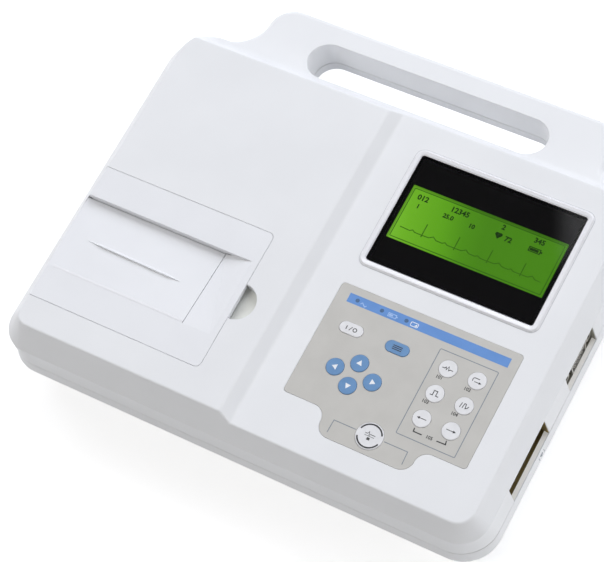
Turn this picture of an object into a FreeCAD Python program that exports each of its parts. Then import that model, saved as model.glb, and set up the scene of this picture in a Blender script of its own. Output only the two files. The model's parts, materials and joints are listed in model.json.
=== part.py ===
import FreeCAD, Part
import math
import os

os.makedirs("parts", exist_ok=True)
V = FreeCAD.Vector

# Frame: millimetres, X to the right along the front, Y to the back, Z up.
# The origin is under the middle of the whole machine, on the table.

# Levels of the case
foot_h = 3.0
tuck_z = 13.5
lip_z = 17.5
seam_z = 25.5
crease_z = 39.5
top_z = 50.0
pad_rise = 4.0
pad_z = top_z + pad_rise
hull_z = foot_h

# Half width of the case at the seam, and how far in or out the other levels stand
seam_half = 140.9
top_in = 8.7
crease_in = 1.8
lip_out = 0.9
tuck_in = 0.7
hull_in = 9.9

# Front of the case at the seam, measured forward from the origin, and the other levels
seam_front = 119.4
top_front_in = 7.4
crease_front_in = 0.8
lip_front_out = 1.0
tuck_front_in = 0.4
hull_front_in = 9.4

# Back wall beside the handle, and the corner radii
wall_back = 87.0
lip_back = 89.0
hull_back = 79.0
top_corner = 9.0
crease_corner = 16.0
lip_corner = 20.0
hull_corner = 14.0
back_corner = 22.0
edge_round = 1.3

# Shells
wall = 2.5
cavity_back = 75.0
seam_gap = 0.6
tongue_inset = 1.4
tongue_wall = 1.2

# Sloped shoulder between the raised left half and the right half
shoulder_top_x = -5.9
shoulder_base_x = 0.4
shoulder_round = 3.0

# Fold down to the handle and the handle itself
fold_pad_y = 77.6
fold_base_y = 82.8
fold_base_z = 46.0
fold_round = 1.5
fold_hollow = 5.0
handle_back = 120.4
handle_back_z = 43.0
handle_shift = 4.8
handle_in = 39.1
handle_bottom = 19.0
handle_more = 2.0
handle_inner_left = 19.0
handle_inner_right = 8.0
handle_outer = 14.0
handle_round = 3.5
slot_in = 31.2
slot_front = 84.4
slot_back = 107.1

# Paper door and its hinge on the left edge
door_right = -26.9
door_front = -93.2
door_back = -11.7
door_t = 3.0
door_gap = 0.25
door_corner = 3.0
barrel_r = 3.3
barrel_inset = 0.3
door_lip_r = 5.6
flank_gap = 0.8
bed_t = 2.0
pin_r = 1.25
pin_len = 10.0
pin_end = 1.0
pin_play = 0.05
ledge_w = 4.1
frame_t = 3.5
frame_margin = 9.0

# Paper ramp in the door, with the paper slot at its back
step_y = -29.9
ramp_front = -74.8
ramp_right = -46.7
ramp_drop = 4.0
ramp_t = 2.0
ramp_gap = 0.3
facet_right = -30.5
paper_slot = 0.4
ridge_in = 8.0
ridge_out = 12.3
ridge_peak = 26.0
ridge_y = -53.5
ridge_h = 1.1
ridge_sink = 0.3
ridge_w = 2.6
ridge_lean = 0.7
step_drop = 0.6
step_lip = 1.8
tear_t = 0.8
tear_h = 2.4
latch_w = 8.0
latch_t = 1.6
latch_h = 5.0
latch_gap = 0.4
latch_back_y = -24.0
latch_front_y = -80.0

# Finger notch beside the door
notch_y = -52.7
notch_r = 10.3
notch_depth = 4.5
notch_floor = 2.0

# Paper bay
tray_wall = 2.0
tray_floor = 7.0
paper_w = 50.0
paper_margin = 5.0
roll_r = 19.0
roll_y = -68.0
roll_z = 30.0
roll_play = 0.3
spindle_r = 4.0
spindle_core_r = 6.0
shaft_play = 0.05

# Printer drive: gears turn about X on the right of the partition
gear_module = 0.6
gear_w = 5.0
gear_gap = 0.6
gear_play = 0.12
tooth_root = 1.2
tooth_tip = 0.9
root_half = 0.30
tip_half = 0.12
platen_teeth = 16
idler_teeth = 40
pinion_teeth = 12
platen_r = 5.0
platen_shaft_r = 2.0
platen_y = -36.0
platen_z = 42.0
platen_margin = 1.0
idler_angle = 243.0
motor_angle = -11.0
idler_post_r = 1.5
motor_r = 12.0
motor_len = 18.0
motor_shaft_r = 1.0
head_t = 3.5
head_bottom = 36.5
head_top = 47.2
head_gap = 0.3
spring_w = 30.0
spring_t = 0.8
spring_flat = 1.0

# Middle of the display and keypad, inward from the right edge of the top
panel_in = 64.4

# Display
window_dx = 0.2
window_half = 47.0
window_front = -3.9
window_back = 61.9
window_t = 1.8
window_corner = 1.6
window_proud = 0.4
window_ledge = 1.2
bezel_rim = 3.4
bezel_proud = 0.45
bezel_round = 0.35
bezel_play = 0.08
glass_half = 47.2
glass_front = 9.3
glass_back = 49.3
glass_t = 2.8
lcd_board_t = 1.6
lcd_frame_t = 2.0
lcd_depth = 5.0

# Keypad overlay with its tongue at the front
overlay_dx = -0.25
overlay_half = 50.75
overlay_back = -19.6
overlay_front = -85.1
overlay_corner = 2.0
overlay_t = 0.8
overlay_proud = 0.1
overlay_play = 0.1
tongue_half = 25.9
tongue_curve = 6.75

# Keys
key_r = 4.7
oval_len = 13.0
oval_w = 6.4
print_r = 7.2
key_proud = 0.3
key_play = 0.12
key_chamfer = 0.2
key_flange = 1.2
key_flange_t = 1.1
key_stem_r = 2.2
key_stem_len = 1.5
key_travel = 0.5
dome_r = 3.0
dome_top_r = 1.8
dome_h = 0.8
dome_gap = 0.1
power_dx = -34.9
menu_dx = -8.9
oval_y = -41.6
arrow_mid_dx = -22.4
arrow_y = -63.1
arrow_dx = 10.5
arrow_dy = 6.6
function_first_dx = 19.2
function_y = -41.2
function_dx = 16.0
function_dy = 14.5
print_y = -89.0
led_r = 1.3
led_play = 0.2
led_first_dx = -39.4
led_pitch = 13.9
led_y = -26.2
led_count = 3
board_t = 1.6
post_r = 3.0

# Sockets on the right wall
patient_depth = 10.8
serial_depth = 9.2
socket_shelf_t = 2.0
socket_flange_t = 1.2
socket_flange_h = 12.5
socket_play = 0.3
socket_block = 2.5
socket_shell_h = 8.4
socket_shell_len = 6.0
socket_shell_t = 0.6
socket_slant = 1.2
socket_body_len = 9.0
socket_body_h = 10.0
patient_y = -62.7
patient_flange = 39.2
patient_shell = 25.0
patient_screws = 33.3
serial_y = -3.1
serial_flange = 30.8
serial_shell = 16.9
serial_screws = 25.0
jack_af = 5.0
jack_len = 5.2
jack_bore_r = 1.4
hex_sides = 6

# Mains inlet and earth post in a pocket of the left wall
inlet_y = 46.0
inlet_z = 26.0
inlet_flange_w = 31.0
inlet_flange_h = 23.0
inlet_flange_t = 2.4
inlet_body_w = 27.0
inlet_body_h = 19.6
inlet_body_len = 16.0
inlet_cavity_w = 24.2
inlet_cavity_h = 16.4
inlet_cavity_corner = 5.0
inlet_wall = 2.0
inlet_depth = 12.9
inlet_play = 0.3
blade_w = 4.0
blade_t = 2.0
blade_len = 11.0
blade_dy = 7.0
blade_dz = 2.0
pocket_front = 20.0
pocket_back = 64.0
pocket_h = 25.0
pocket_wall = 3.0
earth_y = 25.5
earth_r = 2.5
earth_len = 9.0
earth_nut_r = 4.5
earth_nut_t = 3.0

# Underside
foot_r = 8.0
foot_inset = 22.0
cover_left = -44.0
cover_right = 44.0
cover_front = 14.0
cover_back = 68.0
cover_t = 1.6
cover_gap = 0.3
cover_ledge = 3.0
battery_h = 20.0
battery_wall = 2.0
battery_play = 0.5

# Screws that hold the two shells together
screw_in = 7.0
screw_front_in = 9.0
screw_back = 70.0
screw_r = 1.5
screw_head_r = 2.9
screw_head_h = 2.2
screw_play = 0.2
screw_seat = 7.0
screw_grip = 9.0
boss_r = 4.6
pilot_play = 0.05

# Boards and transformer
main_left = -20.0
main_in = 15.0
main_front = -96.0
main_back = 8.0
main_z = 12.0
main_inset = 6.0
chip_w = 24.0
chip_h = 2.0
memory_w = 14.0
memory_d = 10.0
core_w = 44.0
core_d = 38.0
core_h = 26.0
coil_w = 30.0
coil_d = 52.0
coil_h = 20.0
core_gap = 6.0
core_y = 42.0
power_gap = 10.0
power_w = 62.0
power_front = -10.0
power_back = 12.0
power_z = 12.0
cap_r = 6.0
cap_h = 18.0
cap_in = 18.0

# Reach of the cutting shapes, and the margins used to pick edges
far = 400.0
tiny = 0.01
pick = 1.0


def box(x0, x1, y0, y1, z0, z1):
    return Part.makeBox(x1 - x0, y1 - y0, z1 - z0, V(x0, y0, z0))


def rod_x(r, x0, x1, y, z):
    return Part.makeCylinder(r, x1 - x0, V(x0, y, z), V(1, 0, 0))


def rod_y(r, y0, y1, x, z):
    return Part.makeCylinder(r, y1 - y0, V(x, y0, z), V(0, 1, 0))


def rod_z(r, z0, z1, x, y):
    return Part.makeCylinder(r, z1 - z0, V(x, y, z0), V(0, 0, 1))


def prism_x(points, x0, x1):
    # Polygon of (y, z) points drawn out along X
    ring = [V(x0, y, z) for y, z in points]
    return Part.Face(Part.makePolygon(ring + ring[:1])).extrude(V(x1 - x0, 0, 0))


def solid_of(corners):
    # Closed solid from the corners of its flat faces
    faces = [Part.Face(Part.makePolygon(list(face) + [face[0]])) for face in corners]
    return Part.makeSolid(Part.makeShell(faces))


def line(a, b):
    return Part.makeLine(a, b)


def quarter(a, b, centre):
    # Quarter circle from a to b about the centre
    mid = a.add(b).multiply(0.5).sub(centre)
    mid.normalize()
    return Part.Arc(a, centre.add(mid.multiply(a.sub(centre).Length)), b).toShape()


def bend(before, corner, after, r):
    # Arc that rounds a corner between two straight runs
    u = before.sub(corner).normalize()
    w = after.sub(corner).normalize()
    half = u.getAngle(w) / 2
    a = corner.add(V(u).multiply(r / math.tan(half)))
    b = corner.add(V(w).multiply(r / math.tan(half)))
    mid = corner.add(u.add(w).normalize().multiply(r / math.sin(half) - r))
    return Part.Arc(a, mid, b).toShape()


def rounded_face(points, radii):
    # Closed outline whose corners are rounded where a radius is given
    edges = []
    last = len(points) - 1
    arcs = []
    for i, r in enumerate(radii):
        after = points[0] if i == last else points[i + 1]
        arcs.append(bend(points[i - 1], points[i], after, r) if r else None)
    for i, arc in enumerate(arcs):
        follow = 0 if i == last else i + 1
        start = arc.lastVertex().Point if arc else points[i]
        end = arcs[follow].firstVertex().Point if arcs[follow] else points[follow]
        edges.append(line(start, end))
        if arcs[follow]:
            edges.append(arcs[follow])
    return Part.Face(Part.Wire(edges))


def outline(x0, x1, y0, y1, r, z, back_r=None):
    # Rectangle with rounded corners, counter-clockwise from the front left
    b = back_r or r
    spots = [V(x0 + r, y0, z), V(x1 - r, y0, z), V(x1, y0 + r, z), V(x1, y1 - b, z),
             V(x1 - b, y1, z), V(x0 + b, y1, z), V(x0, y1 - b, z), V(x0, y0 + r, z)]
    hubs = [V(x1 - r, y0 + r, z), V(x1 - b, y1 - b, z), V(x0 + b, y1 - b, z), V(x0 + r, y0 + r, z)]
    edges = []
    for i, hub in enumerate(hubs):
        if spots[2 * i].distanceToPoint(spots[2 * i + 1]) > tiny:
            edges.append(line(spots[2 * i], spots[2 * i + 1]))
        edges.append(quarter(spots[2 * i + 1], spots[(2 * i + 2) % 8], hub))
    return Part.Wire(edges)


def slab(x0, x1, y0, y1, r, z0, z1):
    return Part.Face(outline(x0, x1, y0, y1, r, z0)).extrude(V(0, 0, z1 - z0))


def case_ring(half, front, back, corner, z, inset=0.0):
    return outline(-half + inset, half - inset, -front + inset, back - inset, corner, z, back_corner - inset)


def edges_where(shape, test):
    return [e for e in shape.Edges if all(test(v.Point) for v in e.Vertexes)]


def pad_level(low, high):
    # The band above the crease runs on to the raised half at the same slope
    return high + (high - low) * pad_rise / (top_z - crease_z)


# Sizes and places that follow from the values above
top_half = seam_half - top_in
crease_half = seam_half - crease_in
lip_half = seam_half + lip_out
tuck_half = seam_half - tuck_in
hull_half = seam_half - hull_in
top_front = seam_front - top_front_in
crease_front = seam_front - crease_front_in
lip_front = seam_front + lip_front_out
tuck_front = seam_front - tuck_front_in
hull_front = seam_front - hull_front_in
pad_half = pad_level(crease_half, top_half)
pad_front = pad_level(crease_front, top_front)
pad_corner = pad_level(crease_corner, top_corner)
skin_z = top_z - wall
floor_z = hull_z + wall
ledge_z = pad_z - door_t
frame_z = ledge_z - frame_t
hinge_x = -pad_half + barrel_inset + barrel_r
hinge_z = pad_z - barrel_r
trough_r = door_lip_r + door_gap
handle_half = seam_half - handle_in
handle_left = handle_shift - handle_half
handle_right = handle_shift + handle_half + handle_more
slot_half = handle_half - slot_in
tray_left = hinge_x + trough_r
tray_right = door_right - ledge_w
tray_front = door_front + ledge_w - tray_wall
tray_back = door_back - ledge_w + tray_wall
partition_x = tray_left + tray_wall + paper_w + 2 * paper_margin
ramp_back = step_y - paper_slot
gear_x = partition_x + tray_wall + gear_gap
paper_mid = (tray_left + tray_wall + partition_x) / 2
paper_left = paper_mid - paper_w / 2
paper_right = paper_mid + paper_w / 2


def gear_pitch(teeth):
    return gear_module * teeth / 2


idler_reach = gear_pitch(platen_teeth) + gear_pitch(idler_teeth) + gear_play
idler_y = platen_y + idler_reach * math.cos(math.radians(idler_angle))
idler_z = platen_z + idler_reach * math.sin(math.radians(idler_angle))
motor_reach = gear_pitch(idler_teeth) + gear_pitch(pinion_teeth) + gear_play
motor_y = idler_y + motor_reach * math.cos(math.radians(motor_angle))
motor_z = idler_z + motor_reach * math.sin(math.radians(motor_angle))
key_bottom = skin_z - key_play - key_flange_t - key_stem_len
board_top = key_bottom - key_travel - dome_gap - dome_h
panel_x = top_half - panel_in
power_x = panel_x + power_dx
menu_x = panel_x + menu_dx
arrow_x = panel_x + arrow_mid_dx
function_x = panel_x + function_first_dx
led_first_x = panel_x + led_first_dx
overlay_left = panel_x + overlay_dx - overlay_half
overlay_right = panel_x + overlay_dx + overlay_half
window_left = panel_x + window_dx - window_half
window_right = panel_x + window_dx + window_half
glass_left = panel_x + window_dx - glass_half
glass_right = panel_x + window_dx + glass_half
bezel_left = window_left - bezel_rim
bezel_right = window_right + bezel_rim
bezel_front = window_front - bezel_rim
bezel_back = window_back + bezel_rim
window_top = top_z + window_proud
patient_x = seam_half - patient_depth
serial_x = seam_half - serial_depth
socket_z = seam_z + socket_play + socket_flange_h / 2
inlet_face_x = inlet_depth - seam_half
pocket_low = inlet_z - pocket_h / 2
pocket_high = inlet_z + pocket_h / 2
main_right = hull_half - main_in
core_x = inlet_face_x + inlet_body_len + core_gap + core_w / 2
power_left = inlet_face_x + power_gap
power_right = power_left + power_w
screw_z = hull_z + screw_seat


def plateau_z(y):
    return fold_base_z + (handle_back_z - fold_base_z) * (y - fold_base_y) / (handle_back - fold_base_y)


def fold_y(z):
    return fold_base_y - (fold_base_y - fold_pad_y) * (z - fold_base_z) / (pad_z - fold_base_z)


def fold_cut():
    # Space over the handle, behind the fold
    over = pad_z + far
    points = [V(-far, fold_y(over), over), V(-far, fold_base_y, fold_base_z), V(-far, far, plateau_z(far)),
              V(-far, far, over)]
    return rounded_face(points, [0, fold_hollow, 0, 0]).extrude(V(2 * far, 0, 0))


def handle_face(z):
    # Plan of the handle with its S-shaped ends, closed inside the case's back wall
    root = fold_base_y
    hubs = [V(handle_left - handle_inner_left, wall_back + handle_inner_left, z),
            V(handle_left + handle_outer, handle_back - handle_outer, z),
            V(handle_right - handle_outer, handle_back - handle_outer, z),
            V(handle_right + handle_inner_right, wall_back + handle_inner_right, z)]
    spots = [V(handle_left - handle_inner_left, wall_back, z),
             V(handle_left, wall_back + handle_inner_left, z),
             V(handle_left, handle_back - handle_outer, z),
             V(handle_left + handle_outer, handle_back, z),
             V(handle_right - handle_outer, handle_back, z),
             V(handle_right, handle_back - handle_outer, z),
             V(handle_right, wall_back + handle_inner_right, z),
             V(handle_right + handle_inner_right, wall_back, z)]
    ends = [V(handle_right + handle_inner_right, root, z), V(handle_left - handle_inner_left, root, z)]
    edges = []
    for i, hub in enumerate(hubs):
        edges.append(quarter(spots[2 * i], spots[2 * i + 1], hub))
        if i < 3:
            edges.append(line(spots[2 * i + 1], spots[2 * i + 2]))
    edges += [line(spots[7], ends[0]), line(ends[0], ends[1]), line(ends[1], spots[0])]
    return Part.Face(Part.Wire(edges))


def hand_slot():
    r = (slot_back - slot_front) / 2
    return slab(handle_shift - slot_half, handle_shift + slot_half, slot_front, slot_back, r, 0, far)


def handle_top():
    block = handle_face(seam_z).extrude(V(0, 0, pad_z - seam_z)).cut(fold_cut()).cut(hand_slot())

    def on_plateau(p):
        return abs(p.z - plateau_z(p.y)) < tiny

    rim = edges_where(block, lambda p: on_plateau(p) and p.y > wall_back + pick)
    return block.makeFillet(handle_round, [e for e in rim if e.BoundBox.YMax > slot_back + pick])


def handle_base():
    block = handle_face(handle_bottom).extrude(V(0, 0, seam_z - seam_gap - handle_bottom)).cut(hand_slot())
    rim = edges_where(block, lambda p: abs(p.z - handle_bottom) < tiny and p.y > wall_back + pick)
    return block.makeFillet(handle_round, [e for e in rim if e.BoundBox.YMax > slot_back + pick])


def right_cut(drop):
    # Space over the right half, beside the sloped shoulder
    over = pad_z + far
    points = [V(-far, -far, pad_z - drop), V(shoulder_top_x, -far, pad_z - drop),
              V(shoulder_base_x, -far, top_z - drop), V(far, -far, top_z - drop), V(far, -far, over),
              V(-far, -far, over)]
    return rounded_face(points, [0, shoulder_round, shoulder_round, 0, 0, 0]).extrude(V(0, 2 * far, 0))


def across_top(edge):
    # The lines where the shoulder's bends start run from front to back over the top
    reach = edge.BoundBox
    return reach.YLength > wall_back and reach.XLength < tiny and abs(reach.XMin) < top_half / 2


def upper_form():
    rings = [case_ring(seam_half, seam_front, wall_back, lip_corner, seam_z),
             case_ring(crease_half, crease_front, wall_back, crease_corner, crease_z),
             case_ring(pad_half, pad_front, wall_back, pad_corner, pad_z)]
    form = Part.makeLoft(rings, True, True).cut(right_cut(0))
    rim = edges_where(form, lambda p: p.z > top_z - tiny)
    form = form.makeFillet(edge_round, [e for e in rim if not across_top(e)])
    form = form.cut(fold_cut())

    def on_fold(p):
        return abs(p.y - fold_y(p.z)) < tiny and p.z > top_z - tiny

    form = form.makeFillet(fold_round, edges_where(form, on_fold))
    return form.fuse(handle_top()).cut(hand_slot())


def upper_cavity():
    rings = [case_ring(seam_half, seam_front, cavity_back + wall, lip_corner - wall, seam_z, wall),
             case_ring(crease_half, crease_front, cavity_back + wall, crease_corner - wall, crease_z, wall),
             case_ring(pad_half, pad_front, cavity_back + wall, pad_corner - wall, pad_z - wall, wall)]
    return Part.makeLoft(rings, True, True).cut(right_cut(wall))


def lower_form():
    rings = [case_ring(hull_half, hull_front, hull_back, hull_corner, hull_z),
             case_ring(tuck_half, tuck_front, wall_back, lip_corner, tuck_z),
             case_ring(lip_half, lip_front, lip_back, lip_corner, lip_z),
             case_ring(seam_half, seam_front, wall_back, lip_corner, seam_z - seam_gap)]
    return Part.makeLoft(rings, True, True).fuse(handle_base()).cut(hand_slot())


def lower_cavity():
    rings = [case_ring(hull_half, hull_front, cavity_back + wall, hull_corner, floor_z, wall),
             case_ring(tuck_half, tuck_front, cavity_back + wall, lip_corner - wall, tuck_z, wall),
             case_ring(seam_half, seam_front, cavity_back + wall, lip_corner - wall, lip_z, wall),
             case_ring(seam_half, seam_front, cavity_back + wall, lip_corner - wall, seam_z, wall)]
    return Part.makeLoft(rings, True, True)


def overlay_face(z, grow):
    # Plate with rounded corners and a tongue that swells out at the front
    left, right = overlay_left - grow, overlay_right + grow
    back, front = overlay_back + grow, overlay_front - grow
    out, turn = tongue_curve + grow, tongue_curve - grow
    low = front - 2 * tongue_curve
    x0, x1 = panel_x - tongue_half - grow, panel_x + tongue_half + grow
    r = overlay_corner
    spots = [V(left + r, front, z), V(x0 - turn, front, z), V(x0, front - turn, z), V(x0 + out, low, z),
             V(x1 - out, low, z), V(x1, front - turn, z), V(x1 + turn, front, z), V(right - r, front, z),
             V(right, front + r, z), V(right, back - r, z), V(right - r, back, z), V(left + r, back, z),
             V(left, back - r, z), V(left, front + r, z)]
    edges = [line(spots[0], spots[1]),
             quarter(spots[1], spots[2], V(x0 - turn, front - turn, z)),
             quarter(spots[2], spots[3], V(x0 + out, low + out, z)),
             line(spots[3], spots[4]),
             quarter(spots[4], spots[5], V(x1 - out, low + out, z)),
             quarter(spots[5], spots[6], V(x1 + turn, front - turn, z)),
             line(spots[6], spots[7]),
             quarter(spots[7], spots[8], V(right - r, front + r, z)),
             line(spots[8], spots[9]),
             quarter(spots[9], spots[10], V(right - r, back - r, z)),
             line(spots[10], spots[11]),
             quarter(spots[11], spots[12], V(left + r, back - r, z)),
             line(spots[12], spots[13]),
             quarter(spots[13], spots[0], V(left + r, front + r, z))]
    return Part.Face(Part.Wire(edges))


class Key:
    # A key's place and the half sizes of its cap; a round cap has no straight part
    def __init__(self, name, x, y, r, straight=0.0):
        self.name = name
        self.x = x
        self.y = y
        self.r = r
        self.straight = straight

    def prism(self, grow, z0, z1):
        r = self.r + grow
        if self.straight == 0:
            return rod_z(r, z0, z1, self.x, self.y)
        return slab(self.x - self.straight - r, self.x + self.straight + r, self.y - r, self.y + r, r, z0, z1)


def key_list():
    oval_r = oval_w / 2
    oval_straight = (oval_len - oval_w) / 2
    keys = [Key("key_power", power_x, oval_y, oval_r, oval_straight),
            Key("key_menu", menu_x, oval_y, oval_r, oval_straight),
            Key("key_up", arrow_x, arrow_y + arrow_dy, key_r),
            Key("key_down", arrow_x, arrow_y - arrow_dy, key_r),
            Key("key_left", arrow_x - arrow_dx, arrow_y, key_r),
            Key("key_right", arrow_x + arrow_dx, arrow_y, key_r),
            Key("key_print", panel_x, print_y, print_r)]
    names = ["key_sens", "key_recall", "key_cal", "key_mode", "key_lead_left", "key_lead_right"]
    for i, name in enumerate(names):
        keys.append(Key(name, function_x + (i % 2) * function_dx, function_y - (i // 2) * function_dy, key_r))
    return keys


keys = key_list()


def key_cap(key):
    top = top_z + overlay_proud + key_proud
    flange_top = skin_z - key_play
    cap = key.prism(0, flange_top - key_flange_t, top)
    cap = cap.makeChamfer(key_chamfer, edges_where(cap, lambda p: abs(p.z - top) < tiny))
    flange = key.prism(key_flange, flange_top - key_flange_t, flange_top)
    stem = rod_z(key_stem_r, key_bottom, flange_top, key.x, key.y)
    return cap.fuse(flange).fuse(stem).removeSplitter()


def led_places():
    return [led_first_x + i * led_pitch for i in range(led_count)]


def door_plan(grow, z0, z1):
    return slab(-far, door_right + grow, door_front - grow, door_back + grow, door_corner + grow, z0, z1)


def socket_room(x, y, flange):
    half = flange / 2 + socket_play
    return box(x, far, y - half, y + half, seam_z - seam_gap, seam_z + socket_flange_h + 2 * socket_play)


def socket_backing(x, y, flange):
    half = flange / 2 + socket_play + socket_block
    return box(x - socket_block, far, y - half, y + half, seam_z,
               seam_z + socket_flange_h + 2 * socket_play + socket_block)


def socket_hole(x, y, shell):
    half = shell / 2 + socket_play
    height = socket_body_h / 2 + socket_play
    return box(x - socket_body_len, x, y - half, y + half, socket_z - height, socket_z + height)


def socket_shelf(x, y, flange):
    # Floor of a socket's recess, on the lower shell
    half = flange / 2 + socket_play + socket_block
    top = seam_z - seam_gap
    return box(x - socket_block, seam_half - wall / 2, y - half, y + half, top - socket_shelf_t, top)


def screw_places():
    spots = []
    for side in (-1, 1):
        x = side * (hull_half - screw_in)
        spots += [(x, screw_front_in - hull_front), (x, screw_back)]
    return spots


def inlet_backing():
    return box(-far, inlet_face_x + pocket_wall, pocket_front - pocket_wall, pocket_back + pocket_wall,
               pocket_low - pocket_wall, pocket_high + pocket_wall)


def inlet_room():
    room = box(-far, inlet_face_x, pocket_front, pocket_back, pocket_low, pocket_high)
    half_w = inlet_body_w / 2 + inlet_play
    half_h = inlet_body_h / 2 + inlet_play
    hole = box(inlet_face_x, inlet_face_x + inlet_body_len, inlet_y - half_w, inlet_y + half_w,
               inlet_z - half_h, inlet_z + half_h)
    return room.fuse(hole).fuse(rod_x(earth_r, inlet_face_x, inlet_face_x + pocket_wall, earth_y, inlet_z))


case_form = upper_form()
sockets = [(patient_x, patient_y, patient_flange, patient_shell),
           (serial_x, serial_y, serial_flange, serial_shell)]


def upper_case():
    shell = case_form.cut(upper_cavity())
    frame = box(-pad_half, door_right + frame_margin, door_front - frame_margin, door_back + frame_margin,
                frame_z, pad_z - wall / 2)
    bed = box(-far, tray_left, door_front - frame_margin, door_back + frame_margin,
              hinge_z - trough_r - bed_t, pad_z - wall / 2)
    cup = rod_z(notch_r + notch_floor, pad_z - notch_depth - notch_floor, pad_z - wall / 2, door_right,
                notch_y)
    cup = cup.common(box(tray_right + tray_wall, far, -far, far, 0, far))
    inner = frame.fuse(bed).fuse(cup).fuse(inlet_backing().common(box(-far, far, -far, far, seam_z, far)))
    for x, y, flange, _ in sockets:
        inner = inner.fuse(socket_backing(x, y, flange))
    for x, y in screw_places():
        inner = inner.fuse(rod_z(boss_r, seam_z, pad_z, x, y))
    shell = shell.fuse(inner.common(case_form))
    for x, y in screw_places():
        shell = shell.cut(rod_z(screw_r + pilot_play, seam_z, seam_z + screw_grip, x, y))
    for x in (overlay_left + post_r, overlay_right - post_r):
        for y in (overlay_back - post_r, overlay_front + post_r):
            shell = shell.fuse(rod_z(post_r, board_top, skin_z, x, y))
    # Door seat, hinge trough and the mouth of the paper bay
    y0, y1 = door_front - door_gap, door_back + door_gap
    shell = shell.cut(door_plan(door_gap, ledge_z, far))
    trough = rod_y(trough_r, y0, y1, hinge_x, hinge_z)
    trough = trough.fuse(box(-far, tray_left, y0, y1, ledge_z - flank_gap, far))
    y0, y1 = door_front + ledge_w, door_back - ledge_w
    mouth = box(tray_left, tray_right, y0, y1, 0, far).fuse(box(hinge_x, tray_left, y0, y1, frame_z, far))
    pins = rod_y(pin_r + pin_play, door_front - pin_len, door_back + pin_len, hinge_x, hinge_z)
    shell = shell.cut(trough).cut(mouth).cut(pins)
    notch = rod_z(notch_r, pad_z - notch_depth, far, door_right, notch_y)
    shell = shell.cut(notch.common(box(tray_right + tray_wall, far, -far, far, 0, far)))
    # Display opening, keypad recess and the holes for keys and lamps
    shell = shell.cut(slab(bezel_left - bezel_play, bezel_right + bezel_play, bezel_front - bezel_play,
                           bezel_back + bezel_play, window_corner + bezel_rim, 0, far)
                      .common(box(-far, far, -far, far, skin_z - wall, far)))
    recess = top_z + overlay_proud - overlay_t
    shell = shell.cut(overlay_face(recess, overlay_play).extrude(V(0, 0, far)))
    for key in keys:
        shell = shell.cut(key.prism(key_play, skin_z - wall, far))
    for x in led_places():
        shell = shell.cut(rod_z(led_r + led_play, skin_z - wall, far, x, led_y))
    # Sockets
    for x, y, flange, width in sockets:
        shell = shell.cut(socket_room(x, y, flange)).cut(socket_hole(x, y, width))
    return shell.cut(inlet_room()).removeSplitter()


def foot_places():
    spots = []
    for x in (-hull_half + foot_inset, hull_half - foot_inset):
        for y in (-hull_front + foot_inset, hull_back - foot_inset):
            spots.append((x, y))
    return spots


def main_posts():
    spots = []
    for x in (main_left + main_inset, main_right - main_inset):
        for y in (main_front + main_inset, main_back - main_inset):
            spots.append((x, y))
    return spots


def power_posts():
    y = (power_front + power_back) / 2
    return [(power_left + main_inset, y), (power_right - main_inset, y)]


def lower_case():
    form = lower_form()
    shell = form.cut(lower_cavity())
    inner = tongue_inset + tongue_wall
    ring = case_ring(seam_half, seam_front, wall_back, lip_corner - tongue_inset, lip_z, tongue_inset)
    hole = case_ring(seam_half, seam_front, wall_back, lip_corner - inner, lip_z, inner)
    tongue = Part.Face(ring).cut(Part.Face(hole)).extrude(V(0, 0, seam_z - lip_z))
    tongue = tongue.common(box(-far, far, -far, cavity_back, 0, far))
    shell = shell.fuse(tongue)
    backing = inlet_backing().common(box(-far, far, -far, far, 0, seam_z - seam_gap))
    shell = shell.fuse(backing.common(form))
    for x, y in main_posts():
        shell = shell.fuse(rod_z(post_r, hull_z + wall / 2, main_z, x, y))
    for x, y in power_posts():
        shell = shell.fuse(rod_z(post_r, hull_z + wall / 2, power_z, x, y))
    for x, y, flange, _ in sockets:
        shell = shell.fuse(socket_shelf(x, y, flange)).cut(socket_room(x, y, flange))
    for x, y in screw_places():
        boss = rod_z(boss_r, hull_z, seam_z - seam_gap, x, y).common(form)
        shell = shell.fuse(boss).cut(rod_z(screw_head_r + screw_play, 0, screw_z, x, y))
        shell = shell.cut(rod_z(screw_r + screw_play, screw_z, seam_z, x, y))
    # Battery opening with a ledge for its cover
    shell = shell.cut(box(cover_left - cover_gap, cover_right + cover_gap, cover_front - cover_gap,
                          cover_back + cover_gap, 0, hull_z + cover_t))
    shell = shell.cut(box(cover_left + cover_ledge, cover_right - cover_ledge, cover_front + cover_ledge,
                          cover_back - cover_ledge, 0, floor_z + battery_wall))
    return shell.cut(inlet_room()).removeSplitter()


def rubber_feet():
    return Part.makeCompound([rod_z(foot_r, 0, hull_z, x, y) for x, y in foot_places()])


def case_screws():
    # Heads in the counterbores under the lower shell, tips in the bosses of the upper one
    screws = []
    for x, y in screw_places():
        head = rod_z(screw_head_r, screw_z - screw_head_h, screw_z, x, y)
        screws.append(head.fuse(rod_z(screw_r, screw_z, seam_z + screw_grip - screw_play, x, y)))
    return Part.makeCompound(screws)


def battery_cover():
    return box(cover_left, cover_right, cover_front, cover_back, hull_z, hull_z + cover_t)


def battery_pack():
    inset = cover_ledge + battery_play
    low = hull_z + cover_t
    return slab(cover_left + inset, cover_right - inset, cover_front + inset, cover_back - inset,
                battery_wall, low, low + battery_h)


def ramp_surface(y):
    return pad_z - ramp_drop * (y - ramp_front) / (step_y - ramp_front)


def facet_space():
    # Slope that joins the sunken ramp to the top of the door
    a = V(ramp_right, step_y, pad_z - ramp_drop)
    b = V(ramp_right, step_y, pad_z)
    c = V(facet_right, step_y, pad_z)
    d = V(ramp_right, ramp_front, pad_z)
    e = V(facet_right, ramp_front, pad_z)
    return solid_of([(a, b, c), (a, c, e), (a, e, d), (a, d, b), (b, d, e, c)])


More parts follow.
